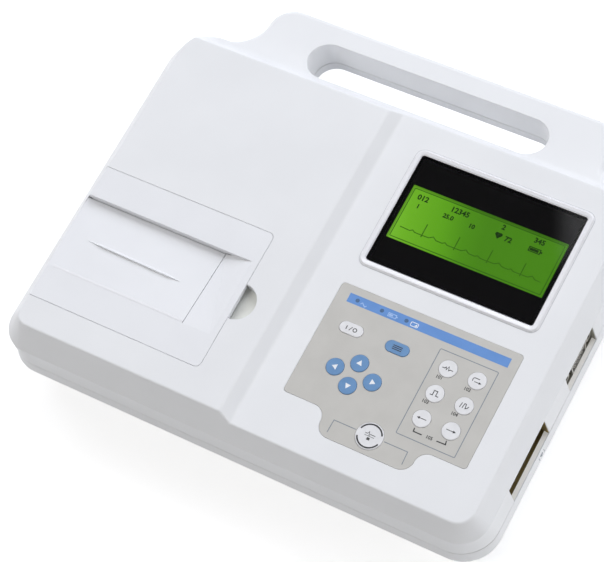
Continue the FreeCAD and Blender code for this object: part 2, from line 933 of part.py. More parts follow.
def hinge_form(y0, y1):
    # All to the right of the hinge line, and to its left what can turn inside the trough
    form = box(hinge_x, far, y0, y1, 0, pad_z).fuse(rod_y(door_lip_r, y0, y1, hinge_x, hinge_z))
    return form.common(case_form)


def paper_door():
    plate = door_plan(0, ledge_z, pad_z).common(hinge_form(door_front, door_back))
    barrel = rod_y(barrel_r, door_front, door_back, hinge_x, hinge_z)
    plate = plate.fuse(barrel.common(box(-far, far, -far, far, 0, ledge_z)))
    under = box(ramp_right, tray_right - latch_gap, ramp_front, step_y, ledge_z - ramp_t, ledge_z)
    lip = box(hinge_x + barrel_r, ramp_right, step_y, step_y + step_lip, ledge_z - step_drop, ledge_z)
    plate = plate.fuse(under).fuse(lip)
    window = box(-far, ramp_right, ramp_front, step_y, 0, far)
    pins = rod_y(pin_r + pin_play, door_front - pin_len, door_front + pin_len, hinge_x, hinge_z)
    pins = pins.fuse(rod_y(pin_r + pin_play, door_back - pin_len, door_back + pin_len, hinge_x, hinge_z))
    return plate.cut(window).cut(facet_space()).cut(pins)


def paper_ramp():
    front_z = ramp_surface(ramp_front)
    back_z = ramp_surface(ramp_back)
    plate = prism_x([(ramp_front, front_z - ramp_t), (ramp_back, back_z - ramp_t), (ramp_back, back_z),
                     (ramp_front, front_z)], -far, ramp_right - ramp_gap)
    plate = plate.common(hinge_form(ramp_front, ramp_back))
    return plate.fuse(ramp_ridge()).removeSplitter()


def ramp_ridge():
    # Low ridge across the paper's way, highest near its left end, with its steeper side to the front
    x0, x1 = hinge_x + ridge_in, ramp_right - ridge_out
    base = ramp_surface(ridge_y) - ridge_sink
    left = V(x0, ridge_y, base)
    right = V(x1, ridge_y, base)
    front = V(x0 + ridge_peak, ridge_y - ridge_w / 2, ramp_surface(ridge_y - ridge_w / 2) - ridge_sink)
    back = V(x0 + ridge_peak, ridge_y + ridge_w / 2, ramp_surface(ridge_y + ridge_w / 2) - ridge_sink)
    crest = V(x0 + ridge_peak, ridge_y - ridge_lean, ramp_surface(ridge_y) + ridge_h)
    return solid_of([(left, front, crest), (left, crest, back), (left, back, front),
                     (right, crest, front), (right, back, crest), (right, front, back)])


def tear_bar():
    top = ledge_z - step_drop
    return box(hinge_x + barrel_r, ramp_right, step_y, step_y + tear_t, top - tear_h, top)


def hinge_pins():
    half = pin_len - pin_end
    front = rod_y(pin_r, door_front - half, door_front + half, hinge_x, hinge_z)
    back = rod_y(pin_r, door_back - half, door_back + half, hinge_x, hinge_z)
    return Part.makeCompound([front, back])


def door_latch():
    tongues = []
    for y in (latch_front_y, latch_back_y):
        x1 = tray_right - latch_gap
        tongues.append(box(x1 - latch_t, x1, y - latch_w / 2, y + latch_w / 2, ledge_z - latch_h, ledge_z))
    return Part.makeCompound(tongues)


def paper_tray():
    tub = box(tray_left, tray_right + tray_wall, tray_front, tray_back, tray_floor, frame_z)
    room = box(tray_left + tray_wall, tray_right, tray_front + tray_wall, tray_back - tray_wall,
               tray_floor + tray_wall, far)
    partition = box(partition_x, partition_x + tray_wall, tray_front, tray_back, tray_floor, frame_z)
    post = rod_x(idler_post_r, partition_x, gear_x + gear_w, idler_y, idler_z)
    tub = tub.cut(room).fuse(partition).fuse(post)
    # Bearings: open slots for the spindle, holes for the shafts
    slot_r = spindle_r + shaft_play
    x0 = tray_left + tray_wall / 2
    x1 = partition_x + tray_wall
    spindle_run = rod_x(slot_r, x0, x1, roll_y, roll_z)
    spindle_run = spindle_run.fuse(box(x0, x1, roll_y - slot_r, roll_y + slot_r, roll_z, far))
    platen_run = rod_x(platen_shaft_r + shaft_play, x0, x1, platen_y, platen_z)
    motor_run = rod_x(motor_shaft_r + head_gap, partition_x, x1, motor_y, motor_z)
    return tub.cut(spindle_run).cut(platen_run).cut(motor_run).removeSplitter()


def paper_roll():
    return rod_x(roll_r, paper_left, paper_right, roll_y, roll_z).cut(
        rod_x(spindle_core_r + roll_play, paper_left, paper_right, roll_y, roll_z))


def roll_spindle():
    x0 = tray_left + tray_wall / 2 + head_gap
    rod = rod_x(spindle_r, x0, partition_x + tray_wall - head_gap, roll_y, roll_z)
    return rod.fuse(rod_x(spindle_core_r, paper_left, paper_right, roll_y, roll_z)).removeSplitter()


def platen_roller():
    x0, x1 = paper_left - platen_margin, paper_right + platen_margin
    return rod_x(platen_r, x0, x1, platen_y, platen_z).cut(rod_x(platen_shaft_r, x0, x1, platen_y, platen_z))


def platen_shaft():
    return rod_x(platen_shaft_r, tray_left + tray_wall / 2 + head_gap, gear_x + gear_w, platen_y, platen_z)


def gear(teeth, y, z, bore, phase):
    # Straight-sided teeth on a disc, turned so that neighbours mesh
    root = gear_pitch(teeth) - tooth_root * gear_module
    tip = gear_pitch(teeth) + tooth_tip * gear_module
    pitch = 2 * math.pi / teeth
    points = []
    for i in range(teeth):
        for share, r in ((-root_half, root), (-tip_half, tip), (tip_half, tip), (root_half, root)):
            a = (i + share) * pitch + phase
            points.append((y + r * math.cos(a), z + r * math.sin(a)))
    blank = prism_x(points, gear_x, gear_x + gear_w)
    return blank.cut(rod_x(bore, gear_x, gear_x + gear_w, y, z))


def platen_gear():
    return gear(platen_teeth, platen_y, platen_z, platen_shaft_r, math.radians(idler_angle))


def idler_gear():
    # A gap between teeth faces the platen gear
    back = math.radians(idler_angle) + math.pi
    return gear(idler_teeth, idler_y, idler_z, idler_post_r + shaft_play, back + math.pi / idler_teeth)


def motor_pinion():
    # The pinion's teeth fall in the idler's gaps on the line between them
    line_angle = math.radians(motor_angle)
    idler_phase = math.radians(idler_angle) + math.pi + math.pi / idler_teeth
    offset = (line_angle - idler_phase) / (2 * math.pi / idler_teeth)
    share = offset - math.floor(offset)
    phase = line_angle + math.pi + (0.5 - share) * 2 * math.pi / pinion_teeth * -1
    wheel = gear(pinion_teeth, motor_y, motor_z, motor_shaft_r, phase)
    stub = rod_x(motor_shaft_r, partition_x - tray_wall, gear_x + gear_w, motor_y, motor_z)
    return wheel.fuse(stub).removeSplitter()


def stepper_motor():
    can = rod_x(motor_r, partition_x - motor_len, partition_x, motor_y, motor_z)
    return can.cut(rod_x(motor_shaft_r + shaft_play, partition_x - tray_wall - head_gap, partition_x,
                         motor_y, motor_z))


def print_head():
    face_y = platen_y + platen_r + head_gap
    return box(tray_left + tray_wall, partition_x, face_y, face_y + head_t, head_bottom, head_top)


def head_spring():
    # Bowed leaf between the back wall of the bay and the print head
    y0 = tray_back - tray_wall
    y1 = platen_y + platen_r + head_gap + head_t
    mid = (head_bottom + head_top) / 2
    points = [(y0, head_bottom), (y1, mid - spring_flat), (y1, mid + spring_flat), (y0, head_top),
              (y0, head_top - 2 * spring_t), (y1 + spring_t, mid + spring_flat - spring_t / 2),
              (y1 + spring_t, mid - spring_flat + spring_t / 2), (y0, head_bottom + 2 * spring_t)]
    return prism_x(points, paper_mid - spring_w / 2, paper_mid + spring_w / 2)


def display_bezel():
    outer_corner = window_corner + bezel_rim
    ring = slab(bezel_left, bezel_right, bezel_front, bezel_back, outer_corner, skin_z, top_z + bezel_proud)
    ring = ring.makeFillet(bezel_round, edges_where(ring, lambda p: p.z > top_z))
    seat = slab(window_left, window_right, window_front, window_back, window_corner, window_top - window_t,
                far)
    hole = slab(window_left + window_ledge, window_right - window_ledge, window_front + window_ledge,
                window_back - window_ledge, window_corner - window_ledge, 0, far)
    return ring.cut(seat).cut(hole)


def display_window():
    play = bezel_play
    return slab(window_left + play, window_right - play, window_front + play, window_back - play,
                window_corner - play, window_top - window_t, window_top)


def lcd_module():
    # Circuit board with a frame that holds the glass up to the bezel
    low = skin_z - lcd_depth
    board = box(bezel_left, bezel_right, bezel_front, bezel_back, low, low + lcd_board_t)
    frame = box(glass_left - lcd_frame_t, glass_right + lcd_frame_t, window_front - lcd_frame_t,
                window_back + lcd_frame_t, low + lcd_board_t, skin_z)
    room = box(glass_left, glass_right, glass_front, glass_back, low + lcd_board_t, skin_z)
    return board.fuse(frame.cut(room)).removeSplitter()


def lcd_glass():
    low = skin_z - lcd_depth + lcd_board_t
    return box(glass_left, glass_right, glass_front, glass_back, low, low + glass_t)


def keypad_overlay():
    low = top_z + overlay_proud - overlay_t
    plate = overlay_face(low, 0).extrude(V(0, 0, overlay_t))
    for key in keys:
        plate = plate.cut(key.prism(key_play, low, low + overlay_t))
    for x in led_places():
        plate = plate.cut(rod_z(led_r + led_play, low, low + overlay_t, x, led_y))
    return plate


def indicator_leds():
    return Part.makeCompound([rod_z(led_r, board_top, top_z + overlay_proud, x, led_y) for x in led_places()])


def keypad_board():
    low = overlay_front - 2 * tongue_curve
    return box(overlay_left, overlay_right, low, overlay_back, board_top - board_t, board_top)


def key_domes():
    domes = [Part.makeCone(dome_r, dome_top_r, dome_h, V(k.x, k.y, board_top)) for k in keys]
    return Part.makeCompound(domes)


def main_board():
    board = box(main_left, main_right, main_front, main_back, main_z, main_z + board_t)
    x = (main_left + main_right) / 2
    y = (main_front + main_back) / 2
    low = main_z + board_t
    processor = box(x - chip_w / 2, x + chip_w / 2, y - chip_w / 2, y + chip_w / 2, low, low + chip_h)
    memory = box(x + chip_w, x + chip_w + memory_w, y - memory_d / 2, y + memory_d / 2, low, low + chip_h)
    return board.fuse(processor).fuse(memory).removeSplitter()


def power_board():
    board = box(power_left, power_right, power_front, power_back, power_z, power_z + board_t)
    y = (power_front + power_back) / 2
    for x in (power_left + cap_in, power_right - cap_in):
        board = board.fuse(rod_z(cap_r, power_z, power_z + board_t + cap_h, x, y))
    return board.removeSplitter()


def power_transformer():
    core = box(core_x - core_w / 2, core_x + core_w / 2, core_y - core_d / 2, core_y + core_d / 2, floor_z,
               floor_z + core_h)
    mid = floor_z + core_h / 2
    coil = slab(core_x - coil_w / 2, core_x + coil_w / 2, core_y - coil_d / 2, core_y + coil_d / 2,
                barrel_r, mid - coil_h / 2, mid + coil_h / 2)
    return core.fuse(coil).removeSplitter()


def d_prism(y, width, height, x0, x1):
    # D outline: the upper side is the longer one
    top, low = width / 2, width / 2 - socket_slant
    ring = [V(x0, y - top, socket_z + height / 2), V(x0, y - low, socket_z - height / 2),
            V(x0, y + low, socket_z - height / 2), V(x0, y + top, socket_z + height / 2)]
    return Part.Face(Part.makePolygon(ring + ring[:1])).extrude(V(x1 - x0, 0, 0))


def socket_shell(x0, y, flange, width, screws):
    x1 = x0 + socket_flange_t
    half_h = socket_flange_h / 2
    plate = box(x0, x1, y - flange / 2, y + flange / 2, socket_z - half_h, socket_z + half_h)
    skirt = d_prism(y, width, socket_shell_h, x0, x1 + socket_shell_len)
    inner = d_prism(y, width - 2 * socket_shell_t, socket_shell_h - 2 * socket_shell_t, x0, far)
    plate = plate.fuse(skirt).cut(inner)
    for side in (-1, 1):
        plate = plate.cut(rod_x(jack_bore_r, x0, x1, y + side * screws / 2, socket_z))
    return plate.removeSplitter()


def socket_insert(x0, y, width):
    face = d_prism(y, width - 2 * socket_shell_t, socket_shell_h - 2 * socket_shell_t, x0,
                   x0 + socket_flange_t + socket_shell_len - socket_shell_t)
    body = box(x0 - socket_body_len, x0, y - width / 2, y + width / 2, socket_z - socket_body_h / 2,
               socket_z + socket_body_h / 2)
    return face.fuse(body).removeSplitter()


def jackscrews(flange_x, y, screws):
    posts = []
    r = jack_af / math.sqrt(3)
    x0 = flange_x + socket_flange_t
    for side in (-1, 1):
        yc = y + side * screws / 2
        ring = []
        for i in range(hex_sides):
            a = 2 * math.pi * i / hex_sides
            ring.append((yc + r * math.cos(a), socket_z + r * math.sin(a)))
        post = prism_x(ring, x0, x0 + jack_len)
        posts.append(post.cut(rod_x(jack_bore_r, x0, x0 + jack_len, yc, socket_z)))
    return Part.makeCompound(posts)


def mains_inlet():
    x0 = inlet_face_x - inlet_flange_t
    half_w = inlet_flange_w / 2
    half_h = inlet_flange_h / 2
    flange = box(x0, inlet_face_x, inlet_y - half_w, inlet_y + half_w, inlet_z - half_h, inlet_z + half_h)
    half_w = inlet_body_w / 2
    half_h = inlet_body_h / 2
    body = box(inlet_face_x, inlet_face_x + inlet_body_len, inlet_y - half_w, inlet_y + half_w,
               inlet_z - half_h, inlet_z + half_h)
    # Plug cavity: two upper corners are cut off
    half_w = inlet_cavity_w / 2
    half_h = inlet_cavity_h / 2
    c = inlet_cavity_corner
    cavity = prism_x([(inlet_y - half_w, inlet_z - half_h), (inlet_y + half_w, inlet_z - half_h),
                      (inlet_y + half_w, inlet_z + half_h - c), (inlet_y + half_w - c, inlet_z + half_h),
                      (inlet_y - half_w + c, inlet_z + half_h), (inlet_y - half_w, inlet_z + half_h - c)],
                     x0, inlet_face_x + inlet_body_len - inlet_wall)
    return flange.fuse(body).cut(cavity).removeSplitter()


def mains_pins():
    # Three flat blades, the earth one higher and in the middle
    x1 = inlet_face_x + inlet_body_len - inlet_wall
    blades = []
    for dy, dz in ((-blade_dy, -blade_dz), (0, blade_dz), (blade_dy, -blade_dz)):
        blades.append(box(x1 - blade_len, x1, inlet_y + dy - blade_t / 2, inlet_y + dy + blade_t / 2,
                          inlet_z + dz - blade_w / 2, inlet_z + dz + blade_w / 2))
    return Part.makeCompound(blades)


def earth_post():
    stud = rod_x(earth_r, inlet_face_x - earth_len, inlet_face_x + pocket_wall, earth_y, inlet_z)
    nut = rod_x(earth_nut_r, inlet_face_x - earth_nut_t, inlet_face_x, earth_y, inlet_z)
    return stud.fuse(nut).removeSplitter()


nodes = {
    "upper_case": upper_case(), "lower_case": lower_case(), "rubber_feet": rubber_feet(),
    "case_screws": case_screws(), "battery_cover": battery_cover(), "battery_pack": battery_pack(),
    "paper_door": paper_door(), "paper_ramp": paper_ramp(), "tear_bar": tear_bar(),
    "hinge_pins": hinge_pins(), "door_latch": door_latch(),
    "paper_tray": paper_tray(), "paper_roll": paper_roll(), "roll_spindle": roll_spindle(),
    "platen_roller": platen_roller(), "platen_shaft": platen_shaft(), "platen_gear": platen_gear(),
    "idler_gear": idler_gear(), "motor_pinion": motor_pinion(), "stepper_motor": stepper_motor(),
    "print_head": print_head(), "head_spring": head_spring(),
    "display_bezel": display_bezel(), "display_window": display_window(), "lcd_module": lcd_module(),
    "lcd_glass": lcd_glass(), "keypad_overlay": keypad_overlay(), "indicator_leds": indicator_leds(),
    "keypad_board": keypad_board(), "key_domes": key_domes(),
    "main_board": main_board(), "power_board": power_board(), "power_transformer": power_transformer(),
    "patient_socket": socket_shell(patient_x, patient_y, patient_flange, patient_shell, patient_screws),
    "patient_insert": socket_insert(patient_x, patient_y, patient_shell),
    "patient_jackscrews": jackscrews(patient_x, patient_y, patient_screws),
    "serial_socket": socket_shell(serial_x, serial_y, serial_flange, serial_shell, serial_screws),
    "serial_insert": socket_insert(serial_x, serial_y, serial_shell),
    "serial_jackscrews": jackscrews(serial_x, serial_y, serial_screws),
    "mains_inlet": mains_inlet(), "mains_pins": mains_pins(), "earth_post": earth_post(),
}
for key in keys:
    nodes[key.name] = key_cap(key)

for name, shape in nodes.items():
    shape.exportStep("parts/" + name + ".step")
    print(name, "solids", len(shape.Solids), "valid", shape.isValid(), "volume", round(shape.Volume))
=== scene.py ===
import json
import math
import bpy
from mathutils import Matrix, Vector


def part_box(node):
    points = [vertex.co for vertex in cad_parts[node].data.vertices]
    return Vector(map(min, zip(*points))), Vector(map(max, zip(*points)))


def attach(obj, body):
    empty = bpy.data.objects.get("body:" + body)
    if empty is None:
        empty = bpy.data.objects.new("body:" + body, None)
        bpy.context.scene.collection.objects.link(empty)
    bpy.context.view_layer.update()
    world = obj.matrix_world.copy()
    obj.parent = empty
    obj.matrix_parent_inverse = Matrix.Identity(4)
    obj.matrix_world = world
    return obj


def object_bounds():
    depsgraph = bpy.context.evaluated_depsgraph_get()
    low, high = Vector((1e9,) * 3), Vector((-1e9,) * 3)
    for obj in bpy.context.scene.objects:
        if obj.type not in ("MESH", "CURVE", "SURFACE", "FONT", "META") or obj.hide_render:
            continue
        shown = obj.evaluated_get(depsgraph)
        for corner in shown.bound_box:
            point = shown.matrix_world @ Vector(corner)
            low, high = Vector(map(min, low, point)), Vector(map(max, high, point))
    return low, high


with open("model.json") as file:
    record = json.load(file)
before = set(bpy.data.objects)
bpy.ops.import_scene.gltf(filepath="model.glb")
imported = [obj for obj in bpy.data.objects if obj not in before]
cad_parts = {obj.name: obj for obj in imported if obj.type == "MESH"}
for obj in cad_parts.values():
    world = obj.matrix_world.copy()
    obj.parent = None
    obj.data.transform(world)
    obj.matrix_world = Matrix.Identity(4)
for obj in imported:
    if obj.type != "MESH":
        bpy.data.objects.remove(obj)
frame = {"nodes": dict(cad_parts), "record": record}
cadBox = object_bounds()
nodes = frame["nodes"]
slotOf = {part["node"]: part["material_slot"] for part in frame["record"]["subparts"]}
bodyOf = {node: body for body, held in frame["record"]["behaviour"]["bodies"].items() for node in held}
mm = 0.001
tau = 2 * math.pi
print("frame loaded,", len(nodes), "nodes")


def boxOf(node):  # lowest and highest corner, in millimetres
    return [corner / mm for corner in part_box(node)]


def linked(name, data):
    made = bpy.data.objects.new(name, data)
    bpy.context.scene.collection.objects.link(made)
    return made


def meshObject(name, spots, faces, finish):
    mesh = bpy.data.meshes.new(name)
    mesh.from_pydata(spots, [], faces)
    mesh.validate()
    mesh.materials.append(finish)
    return linked(name, mesh)


def addMesh(name, spots, faces, finish, body):
    piece = meshObject(name, spots, faces, finish)
    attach(piece, body)


# Camera, matched to the photograph
cameraLook = {
    "place": (0.3625, -0.37403, 0.99885),
    "right": (0.8688, 0.4670, -0.1643),
    "up": (-0.3596, 0.8234, 0.4389),
    "back": (0.3403, -0.3223, 0.8834),
    "lens": 125.82,
    "sensorWidth": 36.0,
}


def addCamera(look):
    lens = bpy.data.cameras.new("studio_camera")
    lens.lens = look["lens"]
    lens.sensor_fit = "HORIZONTAL"
    lens.sensor_width = look["sensorWidth"]
    camera = linked("studio_camera", lens)
    columns = Matrix((look["right"], look["up"], look["back"])).transposed()
    camera.matrix_world = Matrix.Translation(look["place"]) @ columns.to_4x4()
    bpy.context.scene.camera = camera


addCamera(cameraLook)
print("camera set")

# Node helpers for the finishes
noiseSpan = (0.3, 0.7)  # most of a noise lies between these
blotchSpan = (0.35, 0.65)
detailOf = {"grain": 1.0, "plain": 2.0, "blotch": 3.0, "smear": 4.0}
bumpLook = {"strength": 0.6, "edgeSamples": 4}
rangeSockets = ("From Min", "From Max", "To Min", "To Max")
white = (1, 1, 1, 1)


def fromHex(code):  # an sRGB code as linear light
    parts = [int(code[i:i + 2], 16) / 255 for i in (0, 2, 4)]
    return tuple(p / 12.92 if p <= 0.04045 else ((p + 0.055) / 1.055) ** 2.4 for p in parts) + (1.0,)


class Finish:
    def __init__(self, name):
        self.material = bpy.data.materials.new(name)
        self.material.use_nodes = True
        self.tree = self.material.node_tree
        self.tree.nodes.clear()
        self.shader = self.add("ShaderNodeBsdfPrincipled")
        self.join(self.shader.outputs[0], self.add("ShaderNodeOutputMaterial").inputs["Surface"])
        self.place = self.add("ShaderNodeTexCoord").outputs["Object"]

    def add(self, kind, **values):
        node = self.tree.nodes.new(kind)
        for key, value in values.items():
            setattr(node, key, value)
        return node

    def join(self, source, target):
        self.tree.links.new(source, target)

    def put(self, **values):
        for key, value in values.items():
            self.shader.inputs[key.replace("_", " ")].default_value = value

    def stretched(self, scale):
        mapping = self.add("ShaderNodeMapping")
        mapping.inputs["Scale"].default_value = scale
        self.join(self.place, mapping.inputs["Vector"])
        return mapping.outputs[0]

    def noise(self, size, detail="plain", place=None):
        node = self.add("ShaderNodeTexNoise")
        node.inputs["Scale"].default_value = 1 / size
        node.inputs["Detail"].default_value = detailOf[detail]
        self.join(place or self.place, node.inputs["Vector"])
        return node.outputs["Fac"]

    def ramp(self, source, stops):
        node = self.add("ShaderNodeValToRGB")
        marks = node.color_ramp.elements
        while len(marks) < len(stops):
            marks.new(0.5)  # each mark gets its place below
        for mark, (where, colour) in zip(marks, stops):
            mark.position = where
            mark.color = colour
        self.join(source, node.inputs["Fac"])
        return node.outputs["Color"]

    def tint(self, source, look, span=noiseSpan):
        tones = (fromHex(look["shade"]), fromHex(look["colour"]))
        self.join(self.ramp(source, list(zip(span, tones))), self.shader.inputs["Base Color"])

    def rough(self, source, span):
        node = self.add("ShaderNodeMapRange")
        for socket, value in zip(rangeSockets, (*noiseSpan, *span)):
            node.inputs[socket].default_value = value
        self.join(source, node.inputs["Value"])
        self.join(node.outputs[0], self.shader.inputs["Roughness"])

    def sums(self, operation, first, second):
        node = self.add("ShaderNodeMath", operation=operation)
        for socket, value in zip(node.inputs, (first, second)):
            if isinstance(value, (int, float)):
                socket.default_value = value
            else:
                self.join(value, socket)
        return node.outputs[0]

    def vectorSums(self, operation, first, second=None):
        node = self.add("ShaderNodeVectorMath", operation=operation)
        self.join(first, node.inputs[0])
        if second:
            node.inputs[1].default_value = second
        return node

    def bump(self, height, depth, softEdge=0.0):
        node = self.add("ShaderNodeBump")
        node.inputs["Strength"].default_value = bumpLook["strength"]
        node.inputs["Distance"].default_value = depth
        self.join(height, node.inputs["Height"])
        if softEdge:
            edge = self.add("ShaderNodeBevel", samples=bumpLook["edgeSamples"])
            edge.inputs["Radius"].default_value = softEdge
            self.join(edge.outputs[0], node.inputs["Normal"])
        self.join(node.outputs[0], self.shader.inputs["Normal"])


plasticLook = {"ior": 1.5, "roughScale": 0.25}  # roughness varies on a finer scale than colour


def mouldedFinish(name, look):
    made = Finish(name)
    made.tint(made.noise(look["blotch"], "blotch"), look, blotchSpan)
    made.rough(made.noise(look["blotch"] * plasticLook["roughScale"]), look["rough"])
    made.bump(made.noise(look["grain"], "grain"), look["depth"], look.get("softEdge", 0))
    made.put(IOR=plasticLook["ior"], **look.get("extra", {}))
    return made.material


def metalFinish(name, look):
    made = Finish(name)
    lines = made.noise(look["grain"], place=made.stretched(look["brush"]))
    made.tint(lines, look)
    made.rough(made.noise(look["blotch"]), look["rough"])
    made.bump(lines, look["depth"], look.get("softEdge", 0))
    made.put(Metallic=1.0)
    return made.material


def boardFinish(name, look):
    made = Finish(name)
    tracks = made.add("ShaderNodeTexBrick", offset=look["shift"], squash=look["squash"],
                      squash_frequency=look["squashRows"])
    tracks.inputs["Color1"].default_value = fromHex(look["colour"])
    tracks.inputs["Color2"].default_value = fromHex(look["shade"])
    tracks.inputs["Mortar"].default_value = fromHex(look["track"])
    tracks.inputs["Scale"].default_value = 1 / look["pitch"]
    tracks.inputs["Mortar Size"].default_value = look["line"]
    made.join(made.place, tracks.inputs["Vector"])
    made.join(tracks.outputs["Color"], made.shader.inputs["Base Color"])
    made.rough(made.noise(look["blotch"]), look["rough"])
    made.bump(tracks.outputs["Fac"], look["depth"])
    made.put(Coat_Weight=look["coat"], Coat_Roughness=look["coatRough"])
    return made.material


def paneFinish(name, look):
    made = Finish(name)
    made.put(Base_Color=fromHex(look["colour"]), Transmission_Weight=1.0, IOR=look["ior"])
    made.rough(made.noise(look["smear"], "smear"), look["rough"])
    return made.material


def screenFinish(name, look):
    made = Finish(name)
    split = made.add("ShaderNodeSeparateXYZ")
    made.join(made.place, split.inputs[0])
    lean = made.sums("MULTIPLY", split.outputs["Y"], look["lean"])
    along = made.sums("ADD", split.outputs["X"], lean)
    start, end = look["span"]
    reach = made.sums("DIVIDE", made.sums("SUBTRACT", along, start), end - start)
    # Brighter towards the left end, partly painted reflection haze on the pane.
    glow = made.ramp(reach, [(where, fromHex(code)) for where, code in look["glow"]])
    cells = made.add("ShaderNodeTexBrick", offset=0.0, squash=1.0)  # a plain square grid
    cells.inputs["Color1"].default_value = white
    cells.inputs["Color2"].default_value = white
    cells.inputs["Mortar"].default_value = (look["gapShade"],) * 3 + (1,)
    cells.inputs["Scale"].default_value = 1 / look["cell"]
    cells.inputs["Brick Width"].default_value = 1.0
    cells.inputs["Row Height"].default_value = 1.0
    cells.inputs["Mortar Size"].default_value = look["gap"]
    made.join(made.place, cells.inputs["Vector"])
    mix = made.add("ShaderNodeMix", data_type="RGBA", blend_type="MULTIPLY")
    mix.inputs["Factor"].default_value = 1.0
    made.join(glow, mix.inputs[6])  # 6, 7 and 2 are the node's colour sockets
    made.join(cells.outputs["Color"], mix.inputs[7])
    made.join(mix.outputs[2], made.shader.inputs["Emission Color"])
    # Painted shade: the glow darkens towards every edge of the field, standing for the mask's shadow on the
    # screen, and partly for backlight falloff.
    nearest = look["edgeShadeAndFalloff"]
    for axis, (low, high) in zip("XY", look["field"]):
        nearest = made.sums("MINIMUM", nearest, made.sums("SUBTRACT", split.outputs[axis], low))
        nearest = made.sums("MINIMUM", nearest, made.sums("SUBTRACT", high, split.outputs[axis]))
    inside = made.sums("MAXIMUM", made.sums("DIVIDE", nearest, look["edgeShadeAndFalloff"]), 0.0)
    level = made.sums("ADD", made.sums("MULTIPLY", inside, 1 - look["edgeShadeAndFalloffLevel"]), look["edgeShadeAndFalloffLevel"])
    made.join(made.sums("MULTIPLY", level, look["strength"]), made.shader.inputs["Emission Strength"])
    made.put(Base_Color=fromHex(look["colour"]), Specular_IOR_Level=0.0)
    return made.material


def paperFinish(name, look):
    made = Finish(name)
    low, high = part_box("paper_roll")
    middle = (0, (low.y + high.y) / 2, (low.z + high.z) / 2)
    fromAxis = made.vectorSums("SUBTRACT", made.place, middle).outputs[0]
    across = made.vectorSums("MULTIPLY", fromAxis, (0, 1, 1)).outputs[0]
    reach = made.vectorSums("LENGTH", across).outputs["Value"]
    layer = made.sums("FRACT", made.sums("DIVIDE", reach, look["wind"]), 0)
    mottle = made.sums("MULTIPLY", made.noise(look["blotch"], "blotch"), look["mottle"])
    both = made.sums("ADD", mottle, made.sums("MULTIPLY", layer, look["layers"]))
    made.tint(both, look, look["span"])
    made.rough(made.noise(look["blotch"]), look["rough"])
    made.bump(layer, look["depth"])
    return made.material


inkBase = {"blotch": 0.0012, "rough": (0.42, 0.55)}  # an ink's look may give its own blotch


def inkFinish(name, look):
    look = {**inkBase, **look}
    made = Finish(name)
    thin = made.noise(look["blotch"])
    made.tint(thin, look)
    made.rough(thin, look["rough"])
    made.put(**look.get("extra", {}))
    return made.material


# One look for each slot of the record
mouldedLooks = {
    "case_plastic": {"colour": "EDEEF0", "shade": "EAEBED", "blotch": 0.05, "rough": (0.46, 0.54),
                     "grain": 0.0007, "depth": 0.00003, "softEdge": 0.0004,
                     "extra": {"Specular IOR Level": 0.2}},
    "door_plastic": {"colour": "EDEEF1", "shade": "EAEBEE", "blotch": 0.04, "rough": (0.44, 0.52),
                     "grain": 0.0007, "depth": 0.00003, "softEdge": 0.0003,
                     "extra": {"Specular IOR Level": 0.2}},
    "bezel_plastic": {"colour": "F0F0F3", "shade": "ECECEF", "blotch": 0.03, "rough": (0.22, 0.28),
                      "grain": 0.0009, "depth": 0.00001, "softEdge": 0.0003},
    "tray_plastic": {"colour": "D2D3D2", "shade": "C9CAC9", "blotch": 0.02, "rough": (0.45, 0.55),
                     "grain": 0.0006, "depth": 0.00004, "softEdge": 0.0002},
    "overlay_film": {"colour": "C8C6C1", "shade": "C4C2BD", "blotch": 0.012, "rough": (0.46, 0.54),
                     "grain": 0.00045, "depth": 0.00002, "softEdge": 0.0002},
    "white_key": {"colour": "EAEAEC", "shade": "E4E4E6", "blotch": 0.006, "rough": (0.40, 0.50),
                  "grain": 0.0005, "depth": 0.00002, "softEdge": 0.0002},
    "print_key": {"colour": "E8E8EA", "shade": "E1E1E4", "blotch": 0.006, "rough": (0.40, 0.50),
                  "grain": 0.0005, "depth": 0.00002, "softEdge": 0.0002},
    "blue_key": {"colour": "6C96C4", "shade": "658FBD", "blotch": 0.006, "rough": (0.42, 0.52),
                 "grain": 0.0005, "depth": 0.00002, "softEdge": 0.0002},
    "foot_rubber": {"colour": "343436", "shade": "2A2A2C", "blotch": 0.004, "rough": (0.75, 0.9),
                    "grain": 0.0004, "depth": 0.00006},
    "platen_rubber": {"colour": "2C2C2E", "shade": "232325", "blotch": 0.005, "rough": (0.55, 0.7),
                      "grain": 0.0003, "depth": 0.00003},
    "battery_wrap": {"colour": "3B66A6", "shade": "335A96", "blotch": 0.012, "rough": (0.18, 0.3),
                     "grain": 0.004, "depth": 0.00012, "extra": {"Coat Weight": 0.3}},
    "gear_plastic": {"colour": "E9E5D6", "shade": "DFDAC9", "blotch": 0.006, "rough": (0.35, 0.45),
                     "grain": 0.0005, "depth": 0.00002, "softEdge": 0.0001,
                     "extra": {"Subsurface Weight": 0.15, "Subsurface Scale": 0.001}},
    "head_ceramic": {"colour": "E6DFCD", "shade": "D8CFBA", "blotch": 0.003, "rough": (0.25, 0.4),
                     "grain": 0.0004, "depth": 0.00001},
    "insert_plastic": {"colour": "3A3833", "shade": "302E2A", "blotch": 0.003, "rough": (0.4, 0.5),
                       "grain": 0.0004, "depth": 0.00002},
    "inlet_plastic": {"colour": "29292B", "shade": "212123", "blotch": 0.006, "rough": (0.4, 0.52),
                      "grain": 0.0005, "depth": 0.00004, "softEdge": 0.0002},
    "lamp_lens": {"colour": "5A789E", "shade": "506D92", "blotch": 0.001, "rough": (0.2, 0.3),
                  "grain": 0.0006, "depth": 0.00001},
}
